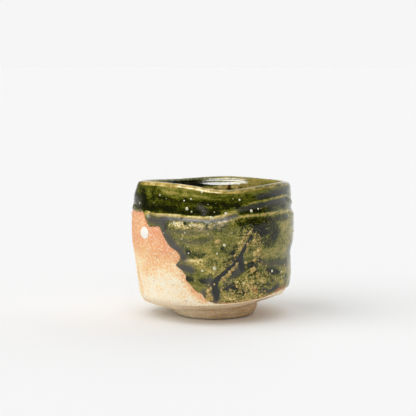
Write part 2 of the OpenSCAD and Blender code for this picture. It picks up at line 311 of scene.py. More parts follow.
@functools.lru_cache(maxsize=None)
def on_wall(pixel, off=0.5):
    """Azimuth and height where a pixel of the photograph meets the cup's front."""
    px, py = pixel
    pitch = math.radians(CAMERA_PITCH)
    slope = pitch + math.atan((py - IMAGE_SIDE / 2) / FOCAL_PX)
    azimuth, z = 270.0, 30.0
    for _ in range(12):
        radius = float(plain_r(azimuth, z)) + off
        away = radius * math.sin(math.radians(azimuth)) - CAMERA_AT[1]
        z = CAMERA_AT[2] - away * math.tan(slope)
        depth = away * math.cos(pitch) + (CAMERA_AT[2] - z) * math.sin(pitch)
        x = (px - IMAGE_SIDE / 2) / FOCAL_PX * depth + CAMERA_AT[0] + LEAN
        azimuth = 360 - math.degrees(math.acos(max(-0.998, min(0.998, x / radius))))
    return azimuth, z


def unrolled(azimuth, z):
    """Millimetres round the wall and up it."""
    return np.radians(azimuth) * HALF_W, z


def wall_line(pixels):
    """Unrolled points of a line in the photograph."""
    return [unrolled(*on_wall(pixel)) for pixel in pixels]


def back_line(places):
    """Unrolled points from azimuths and height shares."""
    return [unrolled(azimuth, share * CUP_H) for azimuth, share in places]


def distance(points, u, v):
    """Distance on the unrolled wall from every place to a line through points."""
    points = [np.array(p, float) for p in points]
    if len(points) == 1:
        return np.hypot(u - points[0][0], v - points[0][1])
    nearest = np.full(np.shape(u), np.inf)
    for p, q in zip(points, points[1:]):
        step = q - p
        share = ((u - p[0]) * step[0] + (v - p[1]) * step[1]) / max(step @ step, 1e-9)
        share = np.clip(share, 0, 1)
        nearest = np.minimum(nearest, np.hypot(u - p[0] - share * step[0], v - p[1] - share * step[1]))
    return nearest


RIDGE_LINE = [(200.0, 0.8 * CUP_H)] + [on_wall(p) for p in RIDGE_PIXELS]
SECOND_LINE = [on_wall(p) for p in SECOND_RIDGE_PIXELS]
SECOND_LINE += [(azimuth, share * CUP_H) for azimuth, share in SECOND_RIDGE_BACK_SHARES]
THIRD_LINE = [on_wall(p) for p in THIRD_RIDGE_PIXELS]
THIRD_LINE += [(azimuth, share * CUP_H) for azimuth, share in THIRD_RIDGE_BACK_SHARES]

# Strength of each spatula mark by azimuth, counted past 360 on the unseen side
RIDGE_STRENGTH = [(214, 0), (220, 1), (240, 0.9), (256, 0.5), (278, 0.4), (292, 0)]
SECOND_STRENGTH = [(289, 0), (296, 0.8), (330, 1), (400, 0.8), (500, 0)]
THIRD_STRENGTH = [(276, 0), (286, 0.8), (330, 1), (400, 0.7), (475, 0)]
# Height of the cut below the first ridge, and its outline: share of that height, share of CUT_T
CUT_REACH = [(216, 4.8), (232, 4.4), (240, 2.8), (255, 1.7), (275, 1.3), (292, 1.2)]
CUT_SHARES = [(-0.12, 0), (0.08, 1), (0.5, 0.83), (0.7, 0.75), (1.1, 0)]
# How much the lower half of that outline is drawn out, towards the front
CUT_DRAW = [(238, 1), (250, 0.4)]
RIDGE_T = 0.22
# The two marks above: line, strength, height and reach of the ridge, and where its groove
# runs, how deep and how wide
UPPER_MARKS = [
    (SECOND_LINE, SECOND_STRENGTH, 0.28, 0.55, -2, 0.3, 1.4),
    (THIRD_LINE, THIRD_STRENGTH, 0.26, 0.6, 1.8, 0.25, 1.2),
]


def relief(azimuth, z):
    """How far the spatula marks and the turning lines stand out of the plain wall."""
    u, v = unrolled(azimuth, z)
    past = round_back(azimuth)
    below_ridge = along(RIDGE_LINE, past) - z
    below = below_ridge / along(CUT_REACH, past)
    below = np.where(below > 0.5, 0.5 + (below - 0.5) * along(CUT_DRAW, past), below)
    cut = CUT_T * eased(CUT_SHARES, below, 0.07)
    out = along(RIDGE_STRENGTH, past) * (RIDGE_T * bell(below_ridge + 0.35, 0.45) - cut)
    for line, strengths, rise, reach, groove_at, groove_t, groove_reach in UPPER_MARKS:
        above = z - along(line, past)
        mark = rise * bell(above, reach) - groove_t * bell(above - groove_at, groove_reach)
        out = out + along(strengths, past) * mark
    return out + 0.02 * noise(u, v, 26, 1.3, 31) + 0.1 * noise(u, v, 24, 3.2, 32)


def wall_r(azimuth, z):
    """Radius of the clay's outside, spatula marks and all."""
    return plain_r(azimuth, z) + relief(azimuth, z)


def edge_table():
    front = [on_wall(p) for p in EDGE_PIXELS]
    back = [(azimuth, share * CUP_H) for azimuth, share in EDGE_BACK_SHARES]
    table = sorted(back + front)
    return table + [(360.0, table[0][1])]


EDGE_TABLE = edge_table()


def edge_z(azimuth):
    """Height of the coat's ragged lower edge."""
    u, _ = unrolled(azimuth, 0)
    z = along(EDGE_TABLE, azimuth % 360)
    z = z + 0.3 * noise(u, 0 * u, 2.5, 1, 11) + 0.15 * noise(u, 0 * u, 0.9, 1, 12)
    return np.maximum(z, hip_z(azimuth) + 0.3)


EDGE_Z = edge_z(AZIMUTHS)
EDGE_LINE = [unrolled(a, z) for a, z in zip(AZIMUTHS[::4], EDGE_Z[::4])]
LIP_Z = rim_z(AZIMUTHS) - CREST_T - LIP_T / 2
LIP_R = wall_r(AZIMUTHS, LIP_Z) - LIP_T / 2

# Lobes of the coat's edge that hang over sideways: pixel, shift in degrees
EDGE_LOBES = [((181.6, 265.6), -5.0), ((187, 280.5), -1.2)]
# Their reach in degrees and in height
LOBE_REACH = 4.5
LOBE_H = 1.4


def lobed(azimuth, z):
    """Azimuths shifted sideways at the lobes of the coat's edge."""
    shifted = azimuth + 0 * z
    for pixel, shift in EDGE_LOBES:
        at_azimuth, at_z = on_wall(pixel)
        near = bell(azimuth - at_azimuth, LOBE_REACH) * bell(z - at_z, LOBE_H)
        shifted = shifted + shift * near
    return shifted


# Meshes

def make_piece(name, points, faces):
    """An object from points in millimetres, shaded smooth."""
    mesh = bpy.data.meshes.new(name)
    mesh.from_pydata((np.asarray(points) * MM).tolist(), [], faces)
    mesh.shade_smooth()
    mesh.update()
    piece = bpy.data.objects.new(name, mesh)
    bpy.context.collection.objects.link(piece)
    return piece


def ring_faces(rows, columns, tipped, offset=0):
    """Faces through rings of points, capped by two tips or joined end to start."""
    index = np.arange(rows * columns).reshape(rows, columns) + offset
    lower, upper = (index[:-1], index[1:]) if tipped else (index, np.roll(index, -1, axis=0))
    right, upper_right = np.roll(lower, -1, axis=1), np.roll(upper, -1, axis=1)
    faces = np.stack([lower, right, upper_right, upper], -1).reshape(-1, 4).tolist()
    if tipped:
        tip = offset + rows * columns
        first, last = index[0], index[-1]
        faces += np.stack([np.roll(first, -1), first, 0 * first + tip], -1).tolist()
        faces += np.stack([last, np.roll(last, -1), 0 * last + tip + 1], -1).tolist()
    return faces


def ring_piece(name, rings, tips=()):
    """A closed mesh through rings of points, capped by two tips or joined end to start."""
    rows, columns, _ = rings.shape
    points = rings.reshape(-1, 3).tolist() + list(tips)
    return make_piece(name, points, ring_faces(rows, columns, len(tips) == 2))


def add_fields(piece, **fields):
    """Numbers on the vertices, for the material to read, and 0 past their end."""
    for name, values in fields.items():
        full = np.zeros(len(piece.data.vertices), np.float32)
        flat = np.asarray(values, np.float32).reshape(-1)
        full[: len(flat)] = flat
        piece.data.attributes.new(name, "FLOAT", "POINT").data.foreach_set("value", full)


def rows_between(low, high, count, skip_last=True):
    """Heights from low to high for every column, one row per step."""
    steps = np.linspace(0, 1, count + 1)
    if skip_last:
        steps = steps[:-1]
    return blend(low, high, steps[:, None])


def on_columns(rings):
    """Azimuths of all the points on rings or rows that follow the columns."""
    return np.broadcast_to(AZIMUTHS, rings.shape[:2])


def lip_ring(turn, off):
    """Ring off the clay's round lip, at degrees above the outward horizontal."""
    turn = math.radians(turn)
    reach = LIP_T / 2 + off
    return place(AZIMUTHS, LIP_R + reach * math.cos(turn), LIP_Z + reach * math.sin(turn))


def inside_swell(azimuth, below_rim):
    """Extra thickness inside the far wall, under its rolled lip."""
    far = bell(azimuth - SWELL_AT, SWELL_REACH)
    return far * (SWELL_T * bell(below_rim - 5, 3.4) - ROLL_T * bell(below_rim - 0.1, 1.4))


def inside_rings(off):
    """Rings down the inside, from just below the lip to near the floor's centre."""
    belt = oval_r(AZIMUTHS) - WALL_T
    floor_z = FOOT_H + FLOOR_T
    corner_z = floor_z + CORNER_H
    u, _ = unrolled(AZIMUTHS, 0)
    rings = []
    for s in np.linspace(0.02, 1, INSIDE_ROWS):
        radius = blend(LIP_R - LIP_T / 2, belt, (1 - math.cos(math.pi * s)) / 2)
        height = blend(LIP_Z, corner_z, s)
        radius = radius - inside_swell(AZIMUTHS, rim_z(AZIMUTHS) - height)
        radius = radius + 0.05 * noise(u, height, 26, 2.4, 41) * smooth_step(0.15, 0.3, s)
        rings.append(place(AZIMUTHS, radius - off, height))
    for turn in np.radians(np.linspace(4, 90, CORNER_ROWS)):
        radius = belt - CORNER_R * (1 - math.cos(turn)) - off * math.cos(turn)
        height = corner_z - (CORNER_H - off) * math.sin(turn)
        rings.append(place(AZIMUTHS, radius, height + 0 * radius))
    for s in np.linspace(0.9, 0.1, FLOOR_ROWS):
        radius = (belt - CORNER_R) * s
        height = floor_z + off - FLOOR_DISH * (1 - s * s)
        rings.append(place(AZIMUTHS, radius, height + 0 * radius))
    return np.array(rings)


# Bare clay

# Places where the clay is warm or pale in the photograph: warmth, reach, pixels
WARM_DABS = [
    (0.8, 4.5, [(139, 222), (140, 232)]),
    (0.95, 3.2, [(153, 231), (158, 240), (163, 248)]),
    (0.8, 3.4, [(150, 246), (163, 254)]),
    (0.42, 3.4, [(142, 268), (156, 268), (170, 268)]),
    (0.64, 3.8, [(146, 256), (165, 262)]),
    (0.72, 1.5, [(167, 252), (174, 260)]),
    (0.62, 1.9, [(180, 276), (187, 286), (194, 294), (203, 300)]),
    (0.46, 2.2, [(136, 262), (138, 276), (141, 290)]),
    (0.12, 3.8, [(163, 276), (170, 284), (180, 291)]),
]


def clay_warmth(u, v):
    """0 where the fired clay is cream and 1 where it is salmon."""
    warmth = 0.1 + 0.75 * smooth_step(0.3, 0.62, v / CUP_H)
    wobble = layered_noise(u, v, 7, 4, 51)
    for value, reach, pixels in WARM_DABS:
        gap = distance(wall_line(pixels), u, v) + 0.8 * wobble
        warmth = blend(warmth, value, 1 - smooth_step(0.3 * reach, 1.5 * reach, gap))
    halo = bell(distance(EDGE_LINE, u, v), 1.1) * smooth_step(8, 14, v)
    return np.clip(warmth + 0.2 * halo + 0.16 * wobble, 0, 1)


def seam_z(x, y):
    """Height of the slanted plane where the foot meets the bowl."""
    return FOOT_H + (FOOT_RISE_RIGHT * x - FOOT_RISE_FRONT * y) / FOOT_R


def foot_circle(radius, rise):
    """Points about the middle of the foot, as far above its slanted top as rise."""
    a = np.radians(AZIMUTHS)
    x, y = radius * np.cos(a), radius * np.sin(a)
    return np.stack([x, y, seam_z(x, y) + rise], -1)


def underside_rings(hip):
    """Rings of the carved underside, from the foot to the hip."""
    rings = []
    a = np.radians(AZIMUTHS)
    lifted = bell(degrees_past(AZIMUTHS, HIP_LIFT_AT), 1.1 * HIP_LIFT_REACH)
    for s in np.linspace(0.04, 0.96, UNDERSIDE_ROWS):
        ring = blend(foot_circle(FOOT_TOP_R, 0), hip, s)
        ripple = 0.12 * np.sin(9 * a + 14 * s) + 0.1 * np.sin(5 * a - 20 * s)
        bulge = ripple * (1 - 0.7 * lifted) - UNDERSIDE_SAG + 0.8 * lifted
        ring[:, 2] += bulge * math.sin(math.pi * s)
        rings.append(ring)
    return np.array(rings)


def make_clay():
    """The bare stoneware: wall, lip, inside and underside in one closed mesh."""
    hip = hip_z(AZIMUTHS)
    wall_z = np.concatenate([
        rows_between(hip, EDGE_Z + 0.4, BARE_ROWS),
        rows_between(EDGE_Z + 0.4, LIP_Z, UNDER_COAT_ROWS, skip_last=False),
    ])
    azimuth = on_columns(wall_z)
    u, v = unrolled(azimuth, wall_z)
    grit = 0.07 * layered_noise(u, v, 1.6, 1.2, 61) + 0.05 * noise(u, v, 0.7, 0.6, 64)
    glazed = smooth_step(0.3, 1.2, wall_z - EDGE_Z)
    radius = wall_r(azimuth, wall_z) + grit * smooth_step(0, 1, wall_z - hip) * (1 - glazed)
    left = smooth_step(120, 150, azimuth) * smooth_step(250, 215, azimuth)
    radius = radius - BEVEL_T * left * bell(wall_z - hip, 1.5)
    radius = radius - WALL_SINK * glazed * smooth_step(0, 1.5, LIP_Z - wall_z)
    wall = place(azimuth, radius, wall_z)
    seam_r = FOOT_R - FOOT_W - FOOT_SLOPE
    recess = [foot_circle((seam_r - RECESS_H / 2) * s, RECESS_H - TOKIN_H * (1 - s) ** 2)
              for s in (0.08, 0.2, 0.35, 0.5, 0.65, 0.8, 0.92, 1)]
    recess += [foot_circle(seam_r, 0), foot_circle(FOOT_TOP_R, 0)]
    under = np.concatenate([recess, underside_rings(wall[0])])
    lip = [lip_ring(turn, -CLAY_SINK) for turn in np.linspace(20, 180, 9)]
    inner = np.concatenate([lip, inside_rings(-CLAY_SINK)[1::3]])
    tips = [(0, 0, FOOT_H + RECESS_H - TOKIN_H),
            (-LEAN, 0, FOOT_H + FLOOR_T - FLOOR_DISH - CLAY_SINK)]
    piece = ring_piece("clay_body", np.concatenate([under, wall, inner]), tips)
    under_u, under_v = unrolled(on_columns(under), under[:, :, 2])
    under_warmth = 0.12 + 0.1 * layered_noise(under_u, under_v, 5, 2, 55)
    level = np.ones(inner.shape[:2])
    # The wall greys towards the hip on the left
    hips = smooth_step(2.6, 0, wall_z - hip) * (1 - right_side(azimuth, 235, 265))
    # Painted shade: the underside greys towards the foot's tan, partly its own colour, and more so
    # towards the right, where less light falls
    shade = 0.35 + 0.6 * right_side(on_columns(under), 225, 255)
    add_fields(
        piece,
        warmth=np.concatenate([under_warmth, clay_warmth(u, v), 0.3 * level]),
        greyness=np.concatenate([shade, 0.6 * hips, 0 * level]),
    )
    return piece


def make_foot():
    """The carved foot ring, with the marks of the trimming knife, greyed by painted shade towards the
    right and darkened by painted contact shadow at its resting edge.
    """
    a = np.radians(AZIMUTHS)
    inner_r = FOOT_R - FOOT_W
    facets = 0.2 * np.sin(11 * a + 1) + 0.14 * np.sin(19 * a + 2.2) + 0.1 * np.sin(47 * a)
    chips = 0.22 * np.clip(noise(a * HALF_W, 0 * a, 2.2, 1, 71), 0, 1)
    top_z = foot_circle(FOOT_TOP_R, 0)[:, 2]
    inner_top_z = foot_circle(inner_r, 0)[:, 2]
    outline = [
        (inner_r - FOOT_SLOPE, inner_top_z - 0.05),
        (inner_r - FOOT_SLOPE / 2, inner_top_z / 2),
        (inner_r, FOOT_CHAMFER),
        (inner_r + 0.2, 0.2),
        (inner_r + FOOT_CHAMFER, 0),
        ((inner_r + FOOT_R) / 2, 0),
        (FOOT_R - FOOT_CHAMFER - UNDERCUT, 0),
    ]
    for level in (0.0, 0.06, 0.16, 0.3, 0.45, 0.6, 0.75, 0.88, 0.95):
        rest = FOOT_R - FOOT_CHAMFER - chips * (1 - level)
        flare = math.sin(min(1, level * 1.25) * math.pi / 2)
        radius = blend(rest, FOOT_TOP_R, flare) + facets * math.sin(math.pi * level)
        outline.append((radius, level * top_z + (0.28 + 0.5 * chips) * (1 - level)))
    outline.append((FOOT_TOP_R, top_z))
    outline.append(((FOOT_TOP_R + inner_r) / 2, (top_z + inner_top_z) / 2 - 0.05))
    rings = np.array([np.stack([radius * np.cos(a), radius * np.sin(a), height + 0 * a], -1)
                      for radius, height in outline])
    piece = ring_piece("foot_carved", rings[:, ::-1])
    # Painted shade: the foot greys and darkens towards the right, away from the light from the left
    shade = 0.3 + 0.7 * right_side(AZIMUTHS, 230, 310)
    # Painted contact shadow: dark brown along the resting edge
    painted_contact_shadow = smooth_step(0.55, 0.2, rings[:, :, 2])
    greyness = blend(shade, 1.8, painted_contact_shadow)
    add_fields(piece, warmth=0.15 + 0 * greyness, greyness=greyness[:, ::-1])
    return piece


# Outer glaze

# Tone of the glaze, from 0 for near-black glass over 0.25 for deep green, 0.5 for olive
# and 0.75 for tan to 1 for cream. Each dab: tone, reach, wobble, pixels
UPPER_DABS = [
    (0.42, 2.4, 1.2, [(158, 189), (175, 191), (190, 193.5), (210, 196), (225, 196)]),
    (0.64, 0.7, 0.7, [(162, 191), (176, 193), (190, 195), (206, 197)]),
    (0.56, 0.6, 0.6, [(158, 187.5), (172, 188), (186, 190), (200, 192)]),
    (0.09, 1.0, 0.8, [(152, 197.5), (175, 200), (200, 202.5), (225, 204)]),
    (0.30, 1.0, 0.7, [(156, 200), (168, 202), (180, 204), (196, 206)]),
    (0.42, 0.8, 0.4, [(172, 196.6), (178, 197.2)]),
    (0.42, 0.8, 0.4, [(207, 198.6), (215, 199.4)]),
    (0.36, 0.7, 0.4, [(183, 206), (190, 207)]),
    (0.04, 2.6, 0.6, [(143, 196), (146, 206), (150, 211)]),
    (0.45, 1.6, 0.8, [(147, 188), (150, 194)]),
    (0.07, 1.8, 0.8, [(152, 208), (160, 207), (172, 208.5)]),
    (0.40, 0.8, 0.5, [(160, 211), (172, 212.5), (180, 213)]),
    (0.10, 1.5, 0.6, [(166, 211), (176, 212.5), (184, 213)]),
    (0.28, 1.0, 0.5, [(166, 202.5), (178, 204)]),
    (0.10, 1.6, 0.9, [(190, 211), (200, 213.5), (214, 213), (222, 211)]),
    (0.10, 1.2, 0.6, [(215, 205), (228, 206), (240, 205)]),
    (0.42, 1.6, 0.8, [(226, 193.5), (240, 194), (252, 193), (262, 191)]),
    (0.50, 1.3, 0.7, [(240, 192), (255, 191.5), (270, 189), (280, 187.5)]),
    (0.30, 1.5, 0.7, [(226, 200), (240, 199.5), (250, 198.5)]),
    (0.46, 0.9, 0.5, [(222, 213), (228, 211.5), (235, 209.5)]),
    (0.10, 1.4, 0.5, [(262, 197.5), (272, 194.5), (287, 191)]),
    (0.12, 1.7, 0.6, [(248, 209), (258, 206.5), (270, 205), (285, 203)]),
    (0.32, 0.7, 0.4, [(262, 208), (268, 207)]),
    (0.36, 0.7, 0.4, [(274, 207.5), (281, 206.5)]),
]
LOWER_DABS = [
    (0.44, 1.6, 0.6, [(182, 242), (196, 241.5), (212, 239)]),
    (0.60, 1.3, 0.6, [(180, 235), (190, 236), (205, 234)]),
    (0.66, 2.0, 0.8, [(203, 248), (206, 256), (206, 265)]),
    (0.58, 2.0, 0.8, [(190, 246), (196, 247)]),
    (0.68, 2.2, 0.8, [(196, 263), (204, 266)]),
    (0.60, 2.4, 1.0, [(205, 272), (214, 272), (222, 262)]),
    (0.40, 1.8, 0.6, [(188, 270), (198, 276)]),
    (0.24, 1.5, 0.5, [(188, 252.6), (193, 255), (203, 255)]),
    (0.03, 0.5, 0.2, [(187.5, 252), (190, 252.5)]),
    (1.0, 0.7, 0.2, [(186, 260.4), (194, 260.6), (201.5, 260)]),
    (0.42, 2.2, 0.5, [(188, 279), (196, 282), (209, 282.5)]),
    (0.03, 0.9, 0.3, [(188.5, 279), (191.5, 280)]),
    (0.14, 0.8, 0.3, [(201, 280.5), (206, 282)]),
    (0.56, 1.0, 0.4, [(194, 287), (200, 288.5), (206, 287)]),
    (0.36, 1.7, 0.5, [(225, 251), (230, 252.5), (236, 251)]),
    (0.12, 0.6, 0.3, [(222.5, 248.5)]),
    (0.50, 2.0, 0.8, [(225, 238), (230, 245)]),
    (0.44, 1.5, 0.7, [(215, 230), (225, 232), (238, 226)]),
    (0.24, 1.3, 0.5, [(240, 224), (255, 220.5), (270, 218.5), (287, 216.5)]),
    (0.72, 1.2, 0.7, [(243, 232), (240, 242), (238, 250)]),
    (0.72, 1.9, 0.9, [(252, 231), (256, 240), (258, 250), (256, 258)]),
    (0.12, 3.1, 0.8, [(256, 227), (263, 229), (272, 230)]),
    (0.14, 3.0, 0.8, [(263, 237), (269, 241), (274, 237), (276, 228)]),
    (0.05, 1.0, 0.8, [(257, 229), (264, 234), (272, 229)]),
    (0.34, 1.3, 1.0, [(270, 235), (266, 242), (274, 246)]),
    (0.56, 0.8, 0.6, [(260, 239), (267, 237)]),
    (0.60, 2.4, 0.8, [(264, 254), (272, 250), (284, 249)]),
    (0.30, 1.7, 0.6, [(259, 260), (266, 264), (276, 262), (286, 262)]),
    (0.04, 1.5, 0.4, [(268, 270), (273, 271.5), (279, 272)]),
    (0.60, 3.4, 1.4, [(230, 282), (240, 286), (252, 282), (262, 278)]),
    (0.66, 3.0, 1.4, [(226, 296), (240, 297), (255, 294)]),
    (0.52, 2.4, 1.2, [(268, 281), (282, 279)]),
    (0.08, 1.0, 0.4, [(264, 291), (270, 291), (278, 286)]),
    (0.16, 1.2, 0.5, [(234, 272), (238, 276)]),
    (0.20, 1.0, 0.5, [(228, 287), (233, 284)]),
    (0.03, 0.9, 0.3, [(212, 281.5)]),
    (0.04, 1.0, 0.3, [(249, 266), (252.5, 263.8), (256, 265.5)]),
    (0.06, 1.6, 0.4, [(240.5, 262), (242, 269)]),
]
# The recess under the ridge, the speckled band below it and what edges them
RECESS_DABS = [
    (0.20, 1.4, 0.3, [(163, 224.5), (165.5, 228)]),
    (0.80, 1.6, 0.6, [(172, 224.7), (186, 226.7), (204, 227.7), (220, 225.7)]),
    (0.40, 0.5, 0.2, [(150, 226.2), (157, 226)]),
]
# On the unseen side, by azimuth and height share in place of pixels
BACK_DABS = [
    (0.36, 2.6, 1.6, [(8, 0.66), (12, 0.55), (9, 0.42), (14, 0.3)]),
    (0.34, 2.2, 1.6, [(34, 0.7), (38, 0.58), (44, 0.46), (42, 0.36), (48, 0.27)]),
    (0.70, 2.6, 1.0, [(22, 0.42), (26, 0.34)]),
    (0.36, 3.6, 1.8, [(64, 0.68), (70, 0.6), (84, 0.62)]),
    (0.74, 3.0, 1.2, [(58, 0.36), (72, 0.38), (80, 0.42)]),
    (0.38, 2.4, 1.6, [(92, 0.6), (96, 0.5), (93, 0.4)]),
    (0.60, 3.5, 1.2, [(104, 0.62), (112, 0.52)]),
    (0.32, 3.0, 1.4, [(118, 0.46), (130, 0.58), (142, 0.68)]),
    (0.30, 3.0, 1.0, [(346, 0.5), (352, 0.4)]),
    (0.66, 2.6, 1.0, [(350, 0.3), (360, 0.28)]),
    (0.08, 2.4, 0.8, [(150, 0.85), (170, 0.86)]),
    (0.10, 2.4, 0.8, [(60, 0.9), (85, 0.88)]),
]
# Painted reflection: a grey veil painted where the glossy glaze mirrors the white floor: strength,
# reach, wobble, pixels
PAINTED_REFLECTION_DABS = [
    (1.0, 2.6, 0.3, [(149, 219.5), (156, 221.5), (163, 221)]),
    (1.0, 0.9, 0.2, [(160, 218.5), (178, 219.3), (195, 220.7), (210, 221.4), (224, 219.6),
                     (237, 215.5)]),
    (1.0, 2.8, 0.5, [(164, 231), (169, 239), (175, 247), (181, 252), (184, 258)]),
    (1.0, 2.6, 0.5, [(176, 265.5), (184, 268), (190, 269.5)]),
    (0.75, 3.8, 0.5, [(134, 188), (135, 198), (139, 204)]),
    (0.7, 1.6, 0.6, [(200, 207), (205, 211), (204, 214)]),
    (1.0, 3.0, 0.6, [(211, 282), (214, 290), (215, 300)]),
    (0.9, 1.7, 0.5, [(203.5, 292), (206, 299)]),
    (0.9, 2.4, 0.9, [(240, 262), (238, 270), (232, 276)]),
    (0.6, 1.8, 0.8, [(168, 231), (186, 232), (208, 230), (226, 225)]),
    (0.6, 1.8, 0.8, [(180, 240), (190, 242.5), (202, 242), (212, 238)]),
    (0.65, 2.0, 0.9, [(259, 259), (267, 264), (276, 263), (286, 262)]),
    (0.7, 1.6, 0.6, [(262, 291), (270, 291), (277, 287)]),
    (0.5, 2.0, 0.9, [(226, 282), (230, 290)]),
    (0.55, 1.8, 0.7, [(258, 196.5), (270, 193), (287, 189)]),
    (0.6, 1.6, 0.7, [(268, 204), (280, 201), (288, 199)]),
]
# Where half-melted ash makes the glaze a crust: strength, reach, wobble, pixels
CRUST_DABS = [
    (0.9, 5.0, 1.5, [(232, 284), (245, 288), (262, 280)]),
    (0.9, 3.0, 1.2, [(226, 297), (245, 297), (265, 292)]),
    (1.0, 2.2, 0.8, [(244, 232), (240, 244), (236, 256), (226, 266)]),
    (1.0, 2.4, 1.0, [(252, 232), (257, 244), (256, 258), (250, 272)]),
    (1.0, 1.9, 0.5, [(171, 224), (186, 226), (204, 227), (222, 225)]),
    (0.5, 2.5, 1.0, [(200, 258), (214, 266), (208, 278)]),
    (0.5, 3.0, 1.0, [(268, 282), (284, 278)]),
    (0.35, 3.0, 1.0, [(258, 230), (266, 238), (274, 230)]),
    (0.6, 1.0, 0.4, THIRD_RIDGE_PIXELS),
]
# Where the glaze is rusty: strength, reach, wobble, pixels
RED_DABS = [
    (0.9, 1.4, 0.4, [(276, 291.5), (284, 288)]),
    (0.6, 1.1, 0.5, [(253, 287), (256, 291)]),
    (1.0, 0.9, 0.2, [(273, 185.5)]),
    (0.8, 0.4, 0.2, [(264, 214)]),
    (0.6, 0.5, 0.3, [(237, 192.5)]),
    (0.5, 0.9, 0.4, [(210, 298)]),
]


def dabbed(field, dabs, u, v, wobble, line=wall_line, core=0.35, fade=1.25):
    """The field with the listed dabs laid over it, one after the other."""
    for value, reach, rough, places in dabs:
        gap = distance(line(places), u, v) + rough * wobble
        field = blend(field, value, 1 - smooth_step(core * reach, fade * reach, gap))
    return field


def band_z(azimuth):
    """Lower border of the smooth green band under the rim."""
    ridge = along(RIDGE_LINE, azimuth)
    third = along(THIRD_LINE, round_back(azimuth)) + 0.7
    return blend(ridge, third, np.where(azimuth < 200, 1, smooth_step(287, 293, azimuth)))


def coat_fields(azimuth, z):
    """Tone, crust, redness and painted reflection of the outer glaze."""
    u, v = unrolled(azimuth, z)
    past = round_back(azimuth)
    wobble = layered_noise(u, v, 2.6, 1.8, 81) + 0.4 * noise(u, v, 0.8, 0.7, 96)
    broad = layered_noise(u, v, 14, 7, 84)
    flat = layered_noise(u, v, 16, 1.3, 87)
    top = rim_z(azimuth)
    border = band_z(azimuth)
    upper = smooth_step(-0.4, 0.4, z - border)
    height = np.clip((z - border) / (top - border), 0, 1)
    upper_tone = 0.23 + 0.12 * height + 0.16 * flat + 0.12 * broad
    upper_tone = dabbed(upper_tone, UPPER_DABS, u, v, wobble, core=-0.4, fade=1.7)
    lower_tone = 0.53 + 0.1 * broad + 0.06 * flat
    lower_tone = dabbed(lower_tone, LOWER_DABS, u, v, 1.3 * wobble, core=0.0, fade=1.5)
    behind = dabbed(lower_tone, BACK_DABS, u, v, 1.3 * wobble, back_line, core=0.0, fade=1.6)
    lower_tone = np.where(v < border, behind, lower_tone)
    tone = blend(lower_tone, upper_tone, upper)
    tone = dabbed(tone, RECESS_DABS, u, v, wobble)
    crust = dabbed(0.15 + 0 * tone, CRUST_DABS, u, v, wobble) * (1 - 0.9 * upper)
    lumps = 0.3 * noise(u, v, 3.2, 2.2, 91) + 0.22 * noise(u, v, 1.5, 1.3, 92)
    tone = tone + crust * (lumps + 0.28 * noise(u, v, 0.8, 0.7, 95) - 0.13)
    for line, strength, line_tone, reach in (
        (RIDGE_LINE, np.minimum(1, 3 * along(RIDGE_STRENGTH, past)), 1.0, 0.66),
        (SECOND_LINE, along(SECOND_STRENGTH, past), 0.68, 0.4),
        (THIRD_LINE, along(THIRD_STRENGTH, past), 0.7, 0.55),
    ):
        gap = np.abs(z - 0.25 - along(line, past) - 0.12 * wobble)
        mask = (1 - smooth_step(0.7 * reach, 1.4 * reach, gap)) * strength
        tone = blend(tone, line_tone, mask * (0.85 + 0.35 * noise(u, v, 1.2, 1.5, 93)))
    lip_line = smooth_step(1.3, 0.4, top - z + 0.3 * wobble) * smooth_step(198, 205, azimuth)
    lip_line = lip_line * (1 - 0.7 * smooth_step(262, 300, azimuth))
    lip_line = lip_line * smooth_step(358, 330, azimuth)
    tone = blend(tone, 0.84 + 0.2 * noise(u, v, 1.6, 1.2, 94), lip_line)
    low_border = bell(distance(EDGE_LINE, u, v), 0.7) * smooth_step(15, 12, z)
    low_border = low_border * smooth_step(252, 262, azimuth)
    tone = blend(tone, 0.78, low_border)
    red = np.maximum(dabbed(0 * tone, RED_DABS, u, v, wobble), 0.75 * low_border)
    # Painted reflection: a grey veil where the glaze mirrors the white floor
    smoke = dabbed(0 * tone, PAINTED_REFLECTION_DABS, u, v, wobble, core=-0.1, fade=1.3)
    return [np.clip(field, 0, 1) for field in (tone, crust, red, smoke)]


def coat_thickness(azimuth, z, tone, crust):
    """How thick the outer coat is: a rolled edge, thick dark pools and a lumpy crust."""
    u, v = unrolled(azimuth, z)
    inward = distance(EDGE_LINE, u, v)
    inward = np.where(z > edge_z(azimuth) - 0.02, inward, 0)
    roll = np.sqrt(np.clip(1 - (1 - np.clip(inward / ROLLED_EDGE_W, 0, 1)) ** 2, 0, 1))
    left = 1 - right_side(azimuth, 240, 262)
    body = GLAZE_T * (1 + (0.2 + 0.4 * left) * bell(inward - 0.9, 1.1))
    pools = 0.12 * (0.5 - tone)
    lumps = crust * (0.2 * layered_noise(u, v, 2.2, 1.8, 101) + 0.1 * noise(u, v, 0.8, 0.8, 104))
    uneven = 0.05 * noise(u, v, 6, 3, 105) + 0.015 * noise(u, v, 1.6, 0.8, 106)
    return roll * np.maximum(body + pools + lumps + uneven, THINNEST_T)


def coat_top_r(azimuth, z):
    """Radius of the outer glaze's surface, or of the clay's below its edge."""
    azimuth, z = np.asarray(azimuth, float), np.asarray(z, float)
    tone, crust, _, _ = coat_fields(azimuth, z)
    glazed = z > edge_z(azimuth)
    return wall_r(azimuth, z) + np.where(glazed, coat_thickness(azimuth, z, tone, crust), 0)


